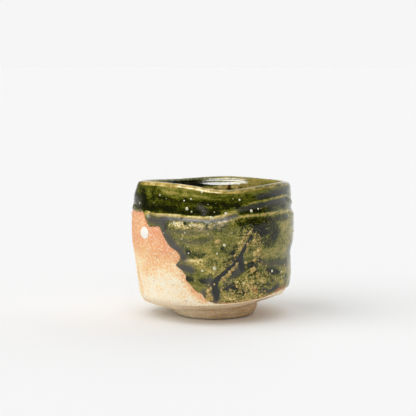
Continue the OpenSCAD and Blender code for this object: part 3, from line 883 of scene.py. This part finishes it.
def make_coat():
    """The outer glaze, from its rolled lower edge to the top of the lip."""
    wall_z = np.concatenate([
        rows_between(EDGE_Z, EDGE_Z + EDGE_BAND_H, EDGE_ROWS),
        rows_between(EDGE_Z + EDGE_BAND_H, LIP_Z, COAT_ROWS, skip_last=False),
    ])
    azimuth = on_columns(wall_z)
    tone, crust, red, smoke = coat_fields(azimuth, wall_z)
    thick = coat_thickness(azimuth, wall_z, tone, crust)
    thick[0] = EDGE_T
    turned = lobed(azimuth, wall_z)
    outer = place(turned, wall_r(turned, wall_z) + thick, wall_z)
    turns = np.linspace(0, 90, 10)[1:]
    lip = [lip_ring(turn, blend(thick[-1], CREST_T, turn / 90)) for turn in turns]
    hidden_lip = [lip_ring(turn, -LIP_SINK) for turn in (90, 45)]
    back_z = rows_between(EDGE_Z, LIP_Z, COAT_BACK_ROWS, skip_last=False)[::-1]
    back_azimuth = lobed(on_columns(back_z), back_z)
    back = place(back_azimuth, wall_r(back_azimuth, back_z) - SINK_T, back_z)
    piece = ring_piece("glaze_coat", np.concatenate([outer, lip, hidden_lip, back[1:]]))
    u, _ = unrolled(AZIMUTHS, 0)
    front = smooth_step(196, 206, AZIMUTHS) * smooth_step(315, 262, AZIMUTHS)
    mottle = np.array([0.24 * noise(u, 0 * u + turn / 9, 1.8, 3, 111) for turn in turns])
    lip_tone = np.clip(0.5 + 0.3 * front + mottle, 0, 1)
    add_fields(
        piece,
        tone=np.concatenate([tone, lip_tone]),
        crust=np.concatenate([crust, 0 * lip_tone]),
        red=np.concatenate([red, 0.12 + 0 * lip_tone]),
        smoke=smoke,
    )
    return piece


# A dark spot of painted shade in the lining of the far wall, for a pit beside a crumb, round the wall
# and up it in millimetres
PIT_AT = (math.radians(73.5) * HALF_W, 48.7)
# Azimuths in the lining: its side darkened by painted shade, a browned patch that is also painted
# paler for the light on it, and the foot of the swell, painted pale against the swell's shade
SHADED_SIDE_AT = 118
BROWNED_AND_LIT_AT = 52
SWELL_FOOT_AT = 88


def make_lining():
    """The lining, from its underside on the floor over the lip and down again."""
    hidden = inside_rings(-SINK_T)[::6][:0:-1]
    hidden_lip = [lip_ring(turn, -LIP_SINK) for turn in (180, 135, 90)]
    lip = [lip_ring(90 + turn, blend(CREST_T, LINING_T, turn / 90))
           for turn in np.linspace(0, 90, 10)]
    rings = np.concatenate([hidden, hidden_lip, lip, inside_rings(LINING_T)])
    tips = [(-LEAN, 0, FOOT_H + FLOOR_T - FLOOR_DISH + off) for off in (-SINK_T, LINING_T)]
    piece = ring_piece("glaze_lining", rings, tips)
    azimuth = on_columns(rings)
    z = rings[:, :, 2]
    u, v = unrolled(azimuth, z)
    below_rim = rim_z(azimuth) - z
    tone = 0.24 + 0.12 * layered_noise(u, v, 9, 4, 121) + 0.05 * noise(u, v, 20, 1.2, 124)
    # Painted shade: the pale rim edge fades on the shaded side
    rim_edge = smooth_step(3.5, 0.8, below_rim) * (1 - 0.8 * bell(azimuth - SHADED_SIDE_AT, 22))
    # A browned patch on the inner right wall, painted paler as well for the light from the left that
    # falls there
    browned_and_lit = bell(azimuth - BROWNED_AND_LIT_AT, 24) * bell(below_rim - 5.5, 4)
    tone = blend(blend(tone, 0.55, rim_edge), 0.8, browned_and_lit)
    # Painted shade on the side of the lining away from the light
    tone = tone - 0.34 * bell(azimuth - SHADED_SIDE_AT, 24) * smooth_step(0.4, 1.2, below_rim)
    # Painted light: the foot of the swell painted pale olive-tan against the shade under the swell
    swell_foot = smooth_step(3.2, 4, below_rim) * smooth_step(9, 7, below_rim)
    swell_foot = swell_foot * bell(azimuth - SWELL_FOOT_AT, 32)
    tone = blend(tone, 0.66 + 0.5 * noise(u, v, 2.2, 1.4, 128), swell_foot)
    # Painted shade of the pit: a dark spot in the tone
    pit_shade = bell(np.hypot(u - PIT_AT[0], (z - PIT_AT[1]) / 1.5), 0.8)
    crumb = bell(np.hypot(u - PIT_AT[0] - 1.2, z - PIT_AT[1] - 0.5), 0.6)
    add_fields(
        piece,
        tone=np.clip(tone - 1.2 * pit_shade + 0.4 * crumb, 0, 1),
        crust=np.maximum(0.3 * browned_and_lit, 0.25 * smooth_step(3.0, 1.5, below_rim)),
        red=0.2 * browned_and_lit + 0.8 * crumb,
    )
    return piece


# Glass runs, stones and crumbs

# Dark streams of glass: pixels down the stream, and its width in millimetres at each
STREAMS = [
    ([(254.3, 228.5), (250.5, 237.2), (245.8, 246), (242, 253.5), (239.5, 260), (232, 266.5),
      (225.6, 272), (220.2, 276.8), (215.8, 281.7), (214.9, 288.2), (216.9, 294.7), (216.4, 301.2)],
     [0.4, 1.0, 1.5, 2.1, 2.8, 2.2, 2.1, 2.3, 2.9, 3.5, 3.6, 2.0]),
    ([(240, 259), (241, 264.3), (242, 269), (243, 273)], [1.2, 2.2, 2.2, 0.8]),
    ([(257, 266.5), (254.5, 264.4), (251, 264.6), (248, 267)], [0.5, 1.0, 1.0, 0.5]),
]


def smooth_line(points, step):
    """Points at even steps along a cubic curve through the given ones."""
    points = np.array(points, float)
    padded = np.concatenate([[2 * points[0] - points[1]], points, [2 * points[-1] - points[-2]]])
    line = []
    for a, b, c, d in zip(padded, padded[1:], padded[2:], padded[3:]):
        count = max(2, int(np.hypot(*(c - b)[:2]) / step))
        line += [cubic(a, b, c, d, u) for u in np.linspace(0, 1, count, endpoint=False)]
    return np.array(line + [points[-1]])


def rolled_back(u, v, rise):
    """Points at rise over the cup's surface from unrolled places."""
    azimuth = np.degrees(u / HALF_W)
    return place(azimuth, coat_top_r(azimuth, v) + rise, v)


def make_streams():
    """Thick streams of dark glass that lie on the glaze."""
    points, faces = [], []
    across = np.linspace(-1, 1, 9)
    for pixels, widths in STREAMS:
        spots = [(*unrolled(*on_wall(pixel)), width) for pixel, width in zip(pixels, widths)]
        line = smooth_line(spots, 0.4)
        ahead = np.gradient(line[:, :2], axis=0)
        ahead /= np.linalg.norm(ahead, axis=1)[:, None]
        side = np.stack([-ahead[:, 1], ahead[:, 0]], -1)
        half = line[:, 2, None] / 2 * (1 + 0.1 * np.sin(np.arange(len(line)) * 0.9))[:, None]
        u = line[:, 0, None] + side[:, 0, None] * half * across
        v = line[:, 1, None] + side[:, 1, None] * half * across
        taper = np.sin(np.linspace(0.06, math.pi - 0.06, len(line)))[:, None] ** 0.4
        rise = 0.5 * RUN_T * taper * (1 - across ** 2) - 0.06
        under = rolled_back(u, v, -0.3)[:, ::-1]
        rings = np.concatenate([rolled_back(u, v, rise), under], axis=1)
        rows, columns, _ = rings.shape
        faces += ring_faces(rows, columns, tipped=True, offset=len(points))
        points += rings.reshape(-1, 3).tolist()
        points += [rings[0].mean(0).tolist(), rings[-1].mean(0).tolist()]
    return make_piece("dark_streams", points, faces)


GRAIN_PIXELS = [
    ((159.8, 195), 0.6), ((202, 192), 0.75), ((191, 199), 0.7), ((184.2, 200.7), 0.6),
    ((187, 208.7), 1.2), ((191.5, 211.8), 0.6), ((239.5, 199.8), 0.8), ((251.8, 211), 1.1),
    ((258.8, 209), 0.7), ((208, 234), 0.5), ((224.5, 245.2), 1.0), ((217, 253.6), 0.7),
    ((188.6, 253.3), 0.6), ((214.5, 268.4), 1.4), ((202.5, 270.8), 0.9), ((272, 271), 1.0),
    ((277.2, 256.8), 0.6), ((284.3, 265), 0.6), ((184.8, 232.6), 0.5), ((182, 239), 0.5),
    ((232, 233), 0.4), ((213.2, 218.6), 0.8), ((226, 213.5), 1.1), ((245, 243.5), 0.5),
    ((211, 217.2), 0.9), ((252, 288), 0.8), ((139.8, 203), 0.8),
]
GRAIN_BACK_SHARES = [
    ((20, 0.6), 0.8), ((48, 0.44), 0.7), ((75, 0.7), 1.0), ((104, 0.55), 0.7), ((330, 0.35), 0.8),
    ((128, 0.8), 0.6), ((352, 0.62), 0.9), ((60, 0.3), 0.7), ((90, 0.86), 0.7), ((36, 0.87), 0.6),
]
PATCH_PIXEL = (143.2, 233)
PATCH_SIZE = (5.2, 4.8)
SMALL_GRAINS = 150
# Shape of every grain and crumb: shares of its width and of its rise, ring by ring
DOME_SHARES = [(1.0, -0.35), (0.98, 0.12), (0.86, 0.52), (0.62, 0.82), (0.3, 0.97)]


def make_domes(name, domes, rough, seed):
    """Low domes in one mesh: u, v, width, height, rise, corners and tone of each."""
    draw = np.random.RandomState(seed)
    spots, tones, faces = [], [], []
    for u, v, width, height, rise, corners, tone in domes:
        turn = np.arange(corners) * 2 * math.pi / corners
        wobble = 1 + rough * draw.uniform(-1, 1, corners)
        lift = 1 + rough * draw.uniform(-1, 1, corners)
        faces += ring_faces(len(DOME_SHARES), corners, tipped=True, offset=len(tones))
        for size, up in DOME_SHARES:
            out_u = width / 2 * size * wobble * np.cos(turn)
            out_v = height / 2 * size * wobble * np.sin(turn)
            spots.append(np.stack([u + out_u, v + out_v, rise * up * lift], -1))
        spots.append(np.array([(u, v, DOME_SHARES[0][1] * rise), (u, v, rise)]))
        tones += [tone] * (len(DOME_SHARES) * corners + 2)
    piece = make_piece(name, rolled_back(*np.concatenate(spots).T), faces)
    add_fields(piece, tone=tones)
    return piece


def make_stones():
    """White feldspar grains and the bare white stone in the clay."""
    draw = np.random.RandomState(131)
    domes = []
    for pixel, size in GRAIN_PIXELS:
        u, v = unrolled(*on_wall(pixel))
        width = size * GRAIN_D * 0.78
        domes.append((u, v, width, width * 0.95, 0.8 * GRAIN_T * size, 12, 0.72))
    for (azimuth, share), size in GRAIN_BACK_SHARES:
        u, v = unrolled(azimuth, share * CUP_H)
        domes.append((u, v, size * GRAIN_D * 0.7, size * GRAIN_D * 0.65, GRAIN_T * size, 12, 0.72))
    while len(domes) < len(GRAIN_PIXELS) + len(GRAIN_BACK_SHARES) + SMALL_GRAINS:
        azimuth, share = draw.uniform(0, 360), draw.uniform(0.22, 0.93)
        u, v = unrolled(azimuth, share * CUP_H)
        size = draw.uniform(0.28, 0.55)
        if v >= edge_z(azimuth) + 1:
            domes.append((u, v, size, size * 0.9, size * 0.25, 8, draw.uniform(0.3, 0.7)))
    u, v = unrolled(*on_wall(PATCH_PIXEL))
    domes.append((u, v, *PATCH_SIZE, GRAIN_T * 0.7, 26, 1.0))
    return make_domes("feldspar_grains", domes, 0.12, 132)


# Large crumbs: pixel, width and height in millimetres
CRUMB_PIXELS = [
    ((252.8, 269.8), 2.8, 2.6), ((208.2, 291), 1.7, 1.7), ((210.8, 288.6), 1.3, 1.5),
    ((209.2, 295.3), 2.1, 1.9), ((211.8, 298), 1.4, 2.0), ((207.4, 298.6), 1.7, 1.5),
    ((217.8, 241.4), 2.2, 1.7), ((253.6, 241.6), 1.5, 1.9), ((208.3, 299.5), 1.8, 1.8),
    ((254.6, 260.2), 1.4, 1.8), ((256, 252.5), 1.3, 1.5), ((247.3, 244.5), 0.9, 1.6),
    ((229.5, 273.6), 1.6, 1.6), ((232.5, 269.4), 1.3, 1.5), ((236.6, 264.5), 1.2, 1.4),
    ((246, 262.6), 1.0, 1.1), ((223.4, 277.8), 1.0, 1.2), ((260.6, 249.5), 1.1, 1.2),
    ((214.5, 284.4), 0.8, 1.0), ((284, 265), 0.8, 0.9), ((262, 257), 1.0, 1.0),
    ((246, 290), 1.3, 1.2), ((256, 294), 1.4, 1.0),
]
# Small crumbs: pixels of a line, their count, how far they stray from it, and their size
CRUMB_LINES = [
    ([(252, 229), (247, 238), (242.5, 246), (238, 252), (234, 256)], 52, 0.5, 0.44),
    ([(248, 230), (243, 239), (240, 246)], 26, 0.8, 0.4),
    ([(256.5, 230), (254, 239), (249, 248), (246, 254)], 36, 0.55, 0.46),
    ([(258, 234), (260, 242), (259, 252), (257, 262)], 50, 1.5, 0.52),
    ([(236, 258), (228, 264), (221, 270.5), (214, 277)], 30, 0.45, 0.42),
    ([(238, 263.5), (232, 270), (226, 276), (221, 282)], 42, 0.8, 0.52),
    ([(210, 286), (207, 291), (207, 297), (211, 300)], 12, 0.5, 0.6),
    ([(222, 286), (222, 294), (224, 301)], 14, 0.8, 0.6),
    ([(230, 280), (240, 288), (252, 284), (262, 276)], 34, 3.4, 0.95),
    ([(228, 298), (242, 298), (256, 296), (268, 290)], 26, 1.8, 0.85),
    ([(170, 224), (186, 226), (204, 227), (222, 225)], 26, 0.9, 0.4),
    ([(228, 221), (244, 216.6), (262, 215), (284, 212)], 34, 0.4, 0.4),
    ([(176, 234), (190, 240), (200, 262), (214, 262)], 22, 2.6, 0.45),
    ([(262, 262), (270, 280), (282, 276)], 26, 2.4, 0.6),
]
CRUMB_BACK_LINES = [
    ([(10, 0.27), (20, 0.27), (34, 0.29)], 50, 2.0, 0.75),
    ([(52, 0.34), (70, 0.37), (84, 0.42)], 60, 2.4, 0.8),
    ([(100, 0.6), (112, 0.5), (120, 0.5)], 30, 2.2, 0.7),
    ([(36, 0.66), (42, 0.5), (50, 0.36)], 26, 0.7, 0.6),
]


def scattered(points, count, spread, size, draw):
    """Crumbs strewn along a line, more of them near it."""
    line = smooth_line(points, 0.5)
    domes = []
    for _ in range(count):
        u, v = line[draw.randint(len(line))] + draw.normal(0, spread / 2, 2)
        width = size * draw.uniform(0.5, 1.5)
        domes.append((u, v, width, width * draw.uniform(0.7, 1.4), width * 0.27, 9,
                      draw.uniform(0.4, 0.95)))
    return domes


def make_crumbs():
    """Crumbs of half-melted ash along the streams and in the crust."""
    draw = np.random.RandomState(141)
    domes = []
    for pixel, width, height in CRUMB_PIXELS:
        u, v = unrolled(*on_wall(pixel))
        domes.append((u, v, width, height, 0.3 * min(width, height), 14, 0.8))
    for pixels, *looks in CRUMB_LINES:
        domes += scattered(wall_line(pixels), *looks, draw)
    for places, *looks in CRUMB_BACK_LINES:
        domes += scattered(back_line(places), *looks, draw)
    domes = [(u % TURN, v, *rest) for u, v, *rest in domes]
    domes = [dome for dome in domes if dome[1] > edge_z(math.degrees(dome[0] / HALF_W)) + 0.4]
    return make_domes("ash_lumps", domes, 0.36, 142)


# Materials

def srgb(r, g, b):
    """Linear colour from the 0 to 255 values a picture shows."""
    def linear(c):
        c = c / 255
        return c / 12.92 if c <= 0.04045 else ((c + 0.055) / 1.055) ** 2.4
    return (linear(r), linear(g), linear(b), 1.0)


# Colour stops: position, and red, green and blue as a picture shows them
GLAZE_RAMP = [
    (0, 18, 20, 4), (0.1, 22, 25, 3), (0.26, 50, 54, 1), (0.4, 98, 100, 22), (0.55, 136, 131, 60),
    (0.7, 174, 155, 78), (0.84, 212, 186, 102), (1, 238, 220, 160),
]
CLAY_RAMP = [(0, 252, 243, 220), (0.3, 252, 224, 172), (0.6, 247, 193, 132), (1, 238, 158, 110)]
GLASS_RAMP = [(0, 24, 25, 22), (0.6, 38, 39, 32), (1, 60, 60, 34)]
STONE_RAMP = [(0, 150, 145, 80), (0.6, 205, 200, 150), (0.9, 238, 234, 214), (1, 250, 247, 238)]
ASH_RAMP = [
    (0, 60, 48, 18), (0.35, 130, 112, 44), (0.65, 188, 158, 82), (0.85, 214, 178, 98),
    (1, 235, 212, 148),
]


class Wire:
    """A number that nodes work out, added and multiplied like any other."""

    def __init__(self, nodes, socket):
        self.nodes = nodes
        self.socket = socket

    def __add__(self, other):
        return self.nodes.math("ADD", self, other)

    def __sub__(self, other):
        return self.nodes.math("SUBTRACT", self, other)

    def __rsub__(self, other):
        return self.nodes.math("SUBTRACT", other, self)

    def __mul__(self, other):
        return self.nodes.math("MULTIPLY", self, other)

    __radd__ = __add__
    __rmul__ = __mul__

    def clamped(self):
        return self.nodes.math("ADD", self, 0.0, use_clamp=True)


class Nodes:
    """Adds and links nodes in one tree."""

    def __init__(self, owner):
        owner.use_nodes = True
        self.tree = owner.node_tree

    def add(self, kind, inputs, **settings):
        node = self.tree.nodes.new(kind)
        for name, value in settings.items():
            setattr(node, name, value)
        for name, value in inputs.items():
            self.set(node.inputs[name], value)
        return node

    def set(self, socket, value):
        if isinstance(value, Wire):
            value = value.socket
        if isinstance(value, bpy.types.NodeSocket):
            self.tree.links.new(value, socket)
        else:
            socket.default_value = value

    def wire(self, kind, output, inputs, **settings):
        return Wire(self, self.add(kind, inputs, **settings).outputs[output])

    def math(self, operation, a, b, **settings):
        return self.wire("ShaderNodeMath", 0, {0: a, 1: b}, operation=operation, **settings)

    def ranged(self, value, low, high, kind="LINEAR"):
        """0 where the value is low and 1 where it is high."""
        ends = {"Value": value, "From Min": low, "From Max": high}
        return self.wire("ShaderNodeMapRange", 0, ends, interpolation_type=kind)


class Shading(Nodes):
    """The nodes of one material."""

    def __init__(self, name):
        self.material = bpy.data.materials.new(name)
        super().__init__(self.material)
        self.shader = self.tree.nodes["Principled BSDF"]
        self.where = self.add("ShaderNodeTexCoord", {}).outputs["Object"]

    def field(self, name):
        return self.wire("ShaderNodeAttribute", "Fac", {}, attribute_name=name)

    def noise(self, cell, detail=2.0, stretch=(1, 1, 1), rough=0.5):
        """Noise from about -0.5 to 0.5 with cells of a size in millimetres."""
        where = self.add("ShaderNodeMapping", {"Vector": self.where, "Scale": stretch}).outputs[0]
        looks = {"Vector": where, "Scale": 1 / (cell * MM), "Detail": detail, "Roughness": rough}
        return self.wire("ShaderNodeTexNoise", "Fac", looks) - 0.5

    def spots(self, cell, low, high):
        """1 in spots about the middles of cells of a size in millimetres, 0 outside."""
        looks = {"Vector": self.where, "Scale": 1 / (cell * MM)}
        return self.ranged(self.wire("ShaderNodeTexVoronoi", "Distance", looks), high, low)

    def ramp(self, factor, stops):
        node = self.add("ShaderNodeValToRGB", {"Fac": factor})
        elements = node.color_ramp.elements
        while len(elements) < len(stops):
            elements.new(0.5)
        for element, (position, *colour) in zip(elements, stops):
            element.position = position
            element.color = srgb(*colour)
        return node.outputs["Color"]

    def mix(self, factor, a, b):
        inputs = {"Factor": factor, 6: a, 7: b}
        return self.add("ShaderNodeMix", inputs, data_type="RGBA").outputs[2]

    def finished(self, colour, roughness, height, strength, depth, shine=0.5):
        """The material, with a bump that follows height and is depth millimetres deep."""
        inputs = {"Height": height, "Strength": strength, "Distance": depth * MM}
        normal = self.add("ShaderNodeBump", inputs).outputs["Normal"]
        looks = {"Base Color": colour, "Roughness": roughness, "Normal": normal}
        for name, value in looks.items():
            self.set(self.shader.inputs[name], value)
        self.shader.inputs["Specular IOR Level"].default_value = shine
        return self.material


def glaze_material(name, gloss, shine):
    """Transparent ash glaze: its tone follows the fields, with mottles, streaks and crust, and a grey
    veil of painted reflection.
    """
    s = Shading(name)
    crust = s.field("crust")
    fine = s.noise(0.75, 2, rough=0.6)
    tone = s.field("tone") + s.noise(2.6, 3) * 0.3 + s.noise(5.0, 4, (1, 1, 11)) * 0.44
    tone = tone + s.noise(0.38, 1) * (0.3 + crust * 0.6) + fine * (0.5 + crust * 1.1)
    colour = s.ramp(tone.clamped(), GLAZE_RAMP)
    colour = s.mix(s.field("red") * 0.75, colour, srgb(190, 98, 48))
    colour = s.mix(s.spots(1.1, 0.12, 0.3) * crust * 0.55, colour, srgb(222, 198, 120))
    colour = s.mix(s.spots(1.3, 0.1, 0.24) * crust * 0.9, colour, srgb(30, 26, 10))
    # Painted reflection: the grey veil mixed into the colour, and rougher there
    smoke = (s.field("smoke") * (1.0 + fine * 0.8)).clamped()
    colour = s.mix(smoke, colour, srgb(78, 75, 70))
    roughness = (gloss + crust * (0.22 + fine * 0.6) + smoke * 0.35).clamped()
    return s.finished(colour, roughness, fine * (0.1 + crust), 0.6, 0.25, shine)


def clay_material(name, grey_tint, speck_cell, speck_size):
    """Bare stoneware: cream to salmon with white grains, dark specks and a gritty skin, greyed towards
    a tan by greyness, partly the clay's own colour and partly painted shade.
    """
    s = Shading(name)
    fine = s.noise(0.9, 3, rough=0.65)
    warmth = s.field("warmth") + s.noise(5.0, 3) * 0.35 + fine * 1.5 + s.noise(0.4, 1) * 1.2
    colour = s.ramp(warmth.clamped(), CLAY_RAMP)
    greyness = s.field("greyness")
    streaks = 0.8 + s.noise(5.0, 3, (1, 1, 7)) * 1.6
    colour = s.mix((greyness * streaks).clamped(), colour, grey_tint)
    # Dark pores, more of them where greyness, and so painted shade, is high
    pores = ((s.noise(0.55, 2, (1, 1, 1.6), 0.7) - 0.08) * greyness * 2.6).clamped()
    # Painted contact shadow: dark brown where greyness goes past 1
    colour = s.mix(pores + (greyness - 1.0).clamped(), colour, srgb(104, 76, 48))
    colour = s.mix(s.spots(1.0, 0.14, 0.33) * 0.8, colour, srgb(252, 246, 232))
    colour = s.mix(s.spots(speck_cell, 0.05, speck_size) * 0.75, colour, srgb(120, 78, 50))
    return s.finished(colour, 0.78 + fine * 0.3, fine + s.noise(0.35, 1), 0.55, 0.22)


def glass_material():
    """Near-black, glossy glass, mottled with dark olive."""
    s = Shading("dark_glass")
    colour = s.ramp((s.noise(1.6, 2) * 1.2 + 0.4).clamped(), GLASS_RAMP)
    return s.finished(colour, 0.34, s.noise(1.2, 1), 0.25, 0.2)


def stone_material():
    """Milky white grains, glossy in the glaze and dull where the stone is bare."""
    s = Shading("feldspar")
    colour = s.ramp((s.field("tone") + s.noise(0.5, 2) * 0.35).clamped(), STONE_RAMP)
    dull = s.math("GREATER_THAN", s.field("tone"), 0.95)
    return s.finished(colour, 0.2 + dull * 0.65, s.noise(0.6, 2), 0.5, 0.2)


def crumb_material():
    """Tan crumbs of ash, mottled from dark to pale."""
    s = Shading("ash")
    shade = s.field("tone") + s.noise(0.8, 3, rough=0.7) * 1.3 - 0.1
    return s.finished(s.ramp(shade.clamped(), ASH_RAMP), 0.42, s.noise(0.5, 2), 0.8, 0.3)


def dress(piece, node, material):
    """Give a piece its finish and its body, and hide the CAD node it stands for."""
    piece.data.materials.append(material)
    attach(piece, "root")
    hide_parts(node)


# grey_tint is the tan that greyness mixes in, partly the clay's own colour and partly painted shade
wall_clay = clay_material("bare_clay", srgb(212, 180, 138), 3.1, 0.12)
ring_clay = clay_material("foot_clay", srgb(196, 156, 106), 1.0, 0.26)
dress(make_clay(), "clay_bowl", wall_clay)
dress(make_foot(), "foot_ring", ring_clay)
dress(make_coat(), "outer_glaze", glaze_material("green_glaze", 0.07, 0.36))
dress(make_lining(), "inner_glaze", glaze_material("lining_glaze", 0.06, 0.5))
dress(make_streams(), "glass_runs", glass_material())
dress(make_stones(), "feldspar_stones", stone_material())
dress(make_crumbs(), "ash_crumbs", crumb_material())


# Floor, lights and camera

def make_stage():
    """A white sheet that ends half a metre to the left and in front of the cup."""
    near, far = 0.5, 3.0
    mesh = bpy.data.meshes.new("floor")
    corners = [(-near, -near, 0), (far, -near, 0), (far, far, 0), (-near, far, 0)]
    mesh.from_pydata(corners, [], [(0, 1, 2, 3)])
    floor = bpy.data.objects.new("floor", mesh)
    bpy.context.collection.objects.link(floor)
    s = Shading("floor_white")
    s.shader.inputs["Base Color"].default_value = (0.9, 0.9, 0.9, 1)
    s.shader.inputs["Roughness"].default_value = 0.9
    s.shader.inputs["Specular IOR Level"].default_value = 0
    mesh.materials.append(s.material)


def make_world():
    """White all round, but dark in front above the floor and dim on the left."""
    world = bpy.data.worlds.new("studio")
    bpy.context.scene.world = world
    nodes = Nodes(world)
    where = nodes.add("ShaderNodeTexCoord", {}).outputs["Generated"]
    way = nodes.add("ShaderNodeSeparateXYZ", {0: where}).outputs
    front = nodes.ranged(way["Y"], 0.25, -0.35, "SMOOTHSTEP")
    left = nodes.ranged(way["X"], 0.0, -0.4, "SMOOTHSTEP")
    above = nodes.ranged(way["Z"], -0.12, -0.05, "SMOOTHSTEP")
    below_top = nodes.ranged(way["Z"], 0.95, 0.75, "SMOOTHSTEP")
    dark = nodes.math("MAXIMUM", front, left) * above * below_top
    camera = nodes.wire("ShaderNodeLightPath", "Is Camera Ray", {})
    level = camera * BACKGROUND_LEVEL + (1.0 - camera) * (1.1 - dark * 1.04)
    background = nodes.tree.nodes["Background"]
    nodes.set(background.inputs["Strength"], level)
    nodes.set(background.inputs["Color"], (1, 1, 1, 1))


def add_lamp(name, kind, at, **looks):
    """A lamp that looks at the cup's middle."""
    light = bpy.data.lights.new(name, kind)
    for setting, value in looks.items():
        setattr(light, setting, value)
    lamp = bpy.data.objects.new(name, light)
    bpy.context.collection.objects.link(lamp)
    lamp.location = at
    lamp.rotation_euler = (Vector(CUP_MIDDLE) - Vector(at)).to_track_quat("-Z", "Y").to_euler()
    return lamp


def make_lamps():
    """A soft key from the left, a wide fill in front and a high box that shows inside the rim."""
    key = add_lamp("key", "SUN", (-1.0, -0.27, 0.85), energy=1.25, angle=math.radians(70))
    key.visible_glossy = False
    fill = add_lamp("fill", "SUN", (-0.35, -1.0, 0.43), energy=1.35, angle=math.radians(130))
    fill.visible_glossy = False
    box = add_lamp("high_box", "AREA", (-0.4, -0.85, 0.95), shape="ELLIPSE", size=1.5,
                   size_y=0.62, energy=42)
    box.visible_diffuse = False


def make_camera():
    camera = bpy.data.cameras.new("camera")
    camera.sensor_width = SENSOR_MM
    camera.lens = FOCAL_PX / IMAGE_SIDE * SENSOR_MM
    camera.clip_start = 0.01
    holder = bpy.data.objects.new("camera", camera)
    bpy.context.collection.objects.link(holder)
    holder.location = [c * MM for c in CAMERA_AT]
    holder.rotation_euler = (math.radians(90 - CAMERA_PITCH), 0, 0)
    bpy.context.scene.camera = holder


make_stage()
make_world()
make_lamps()
make_camera()
bpy.context.scene.view_settings.view_transform = "Standard"
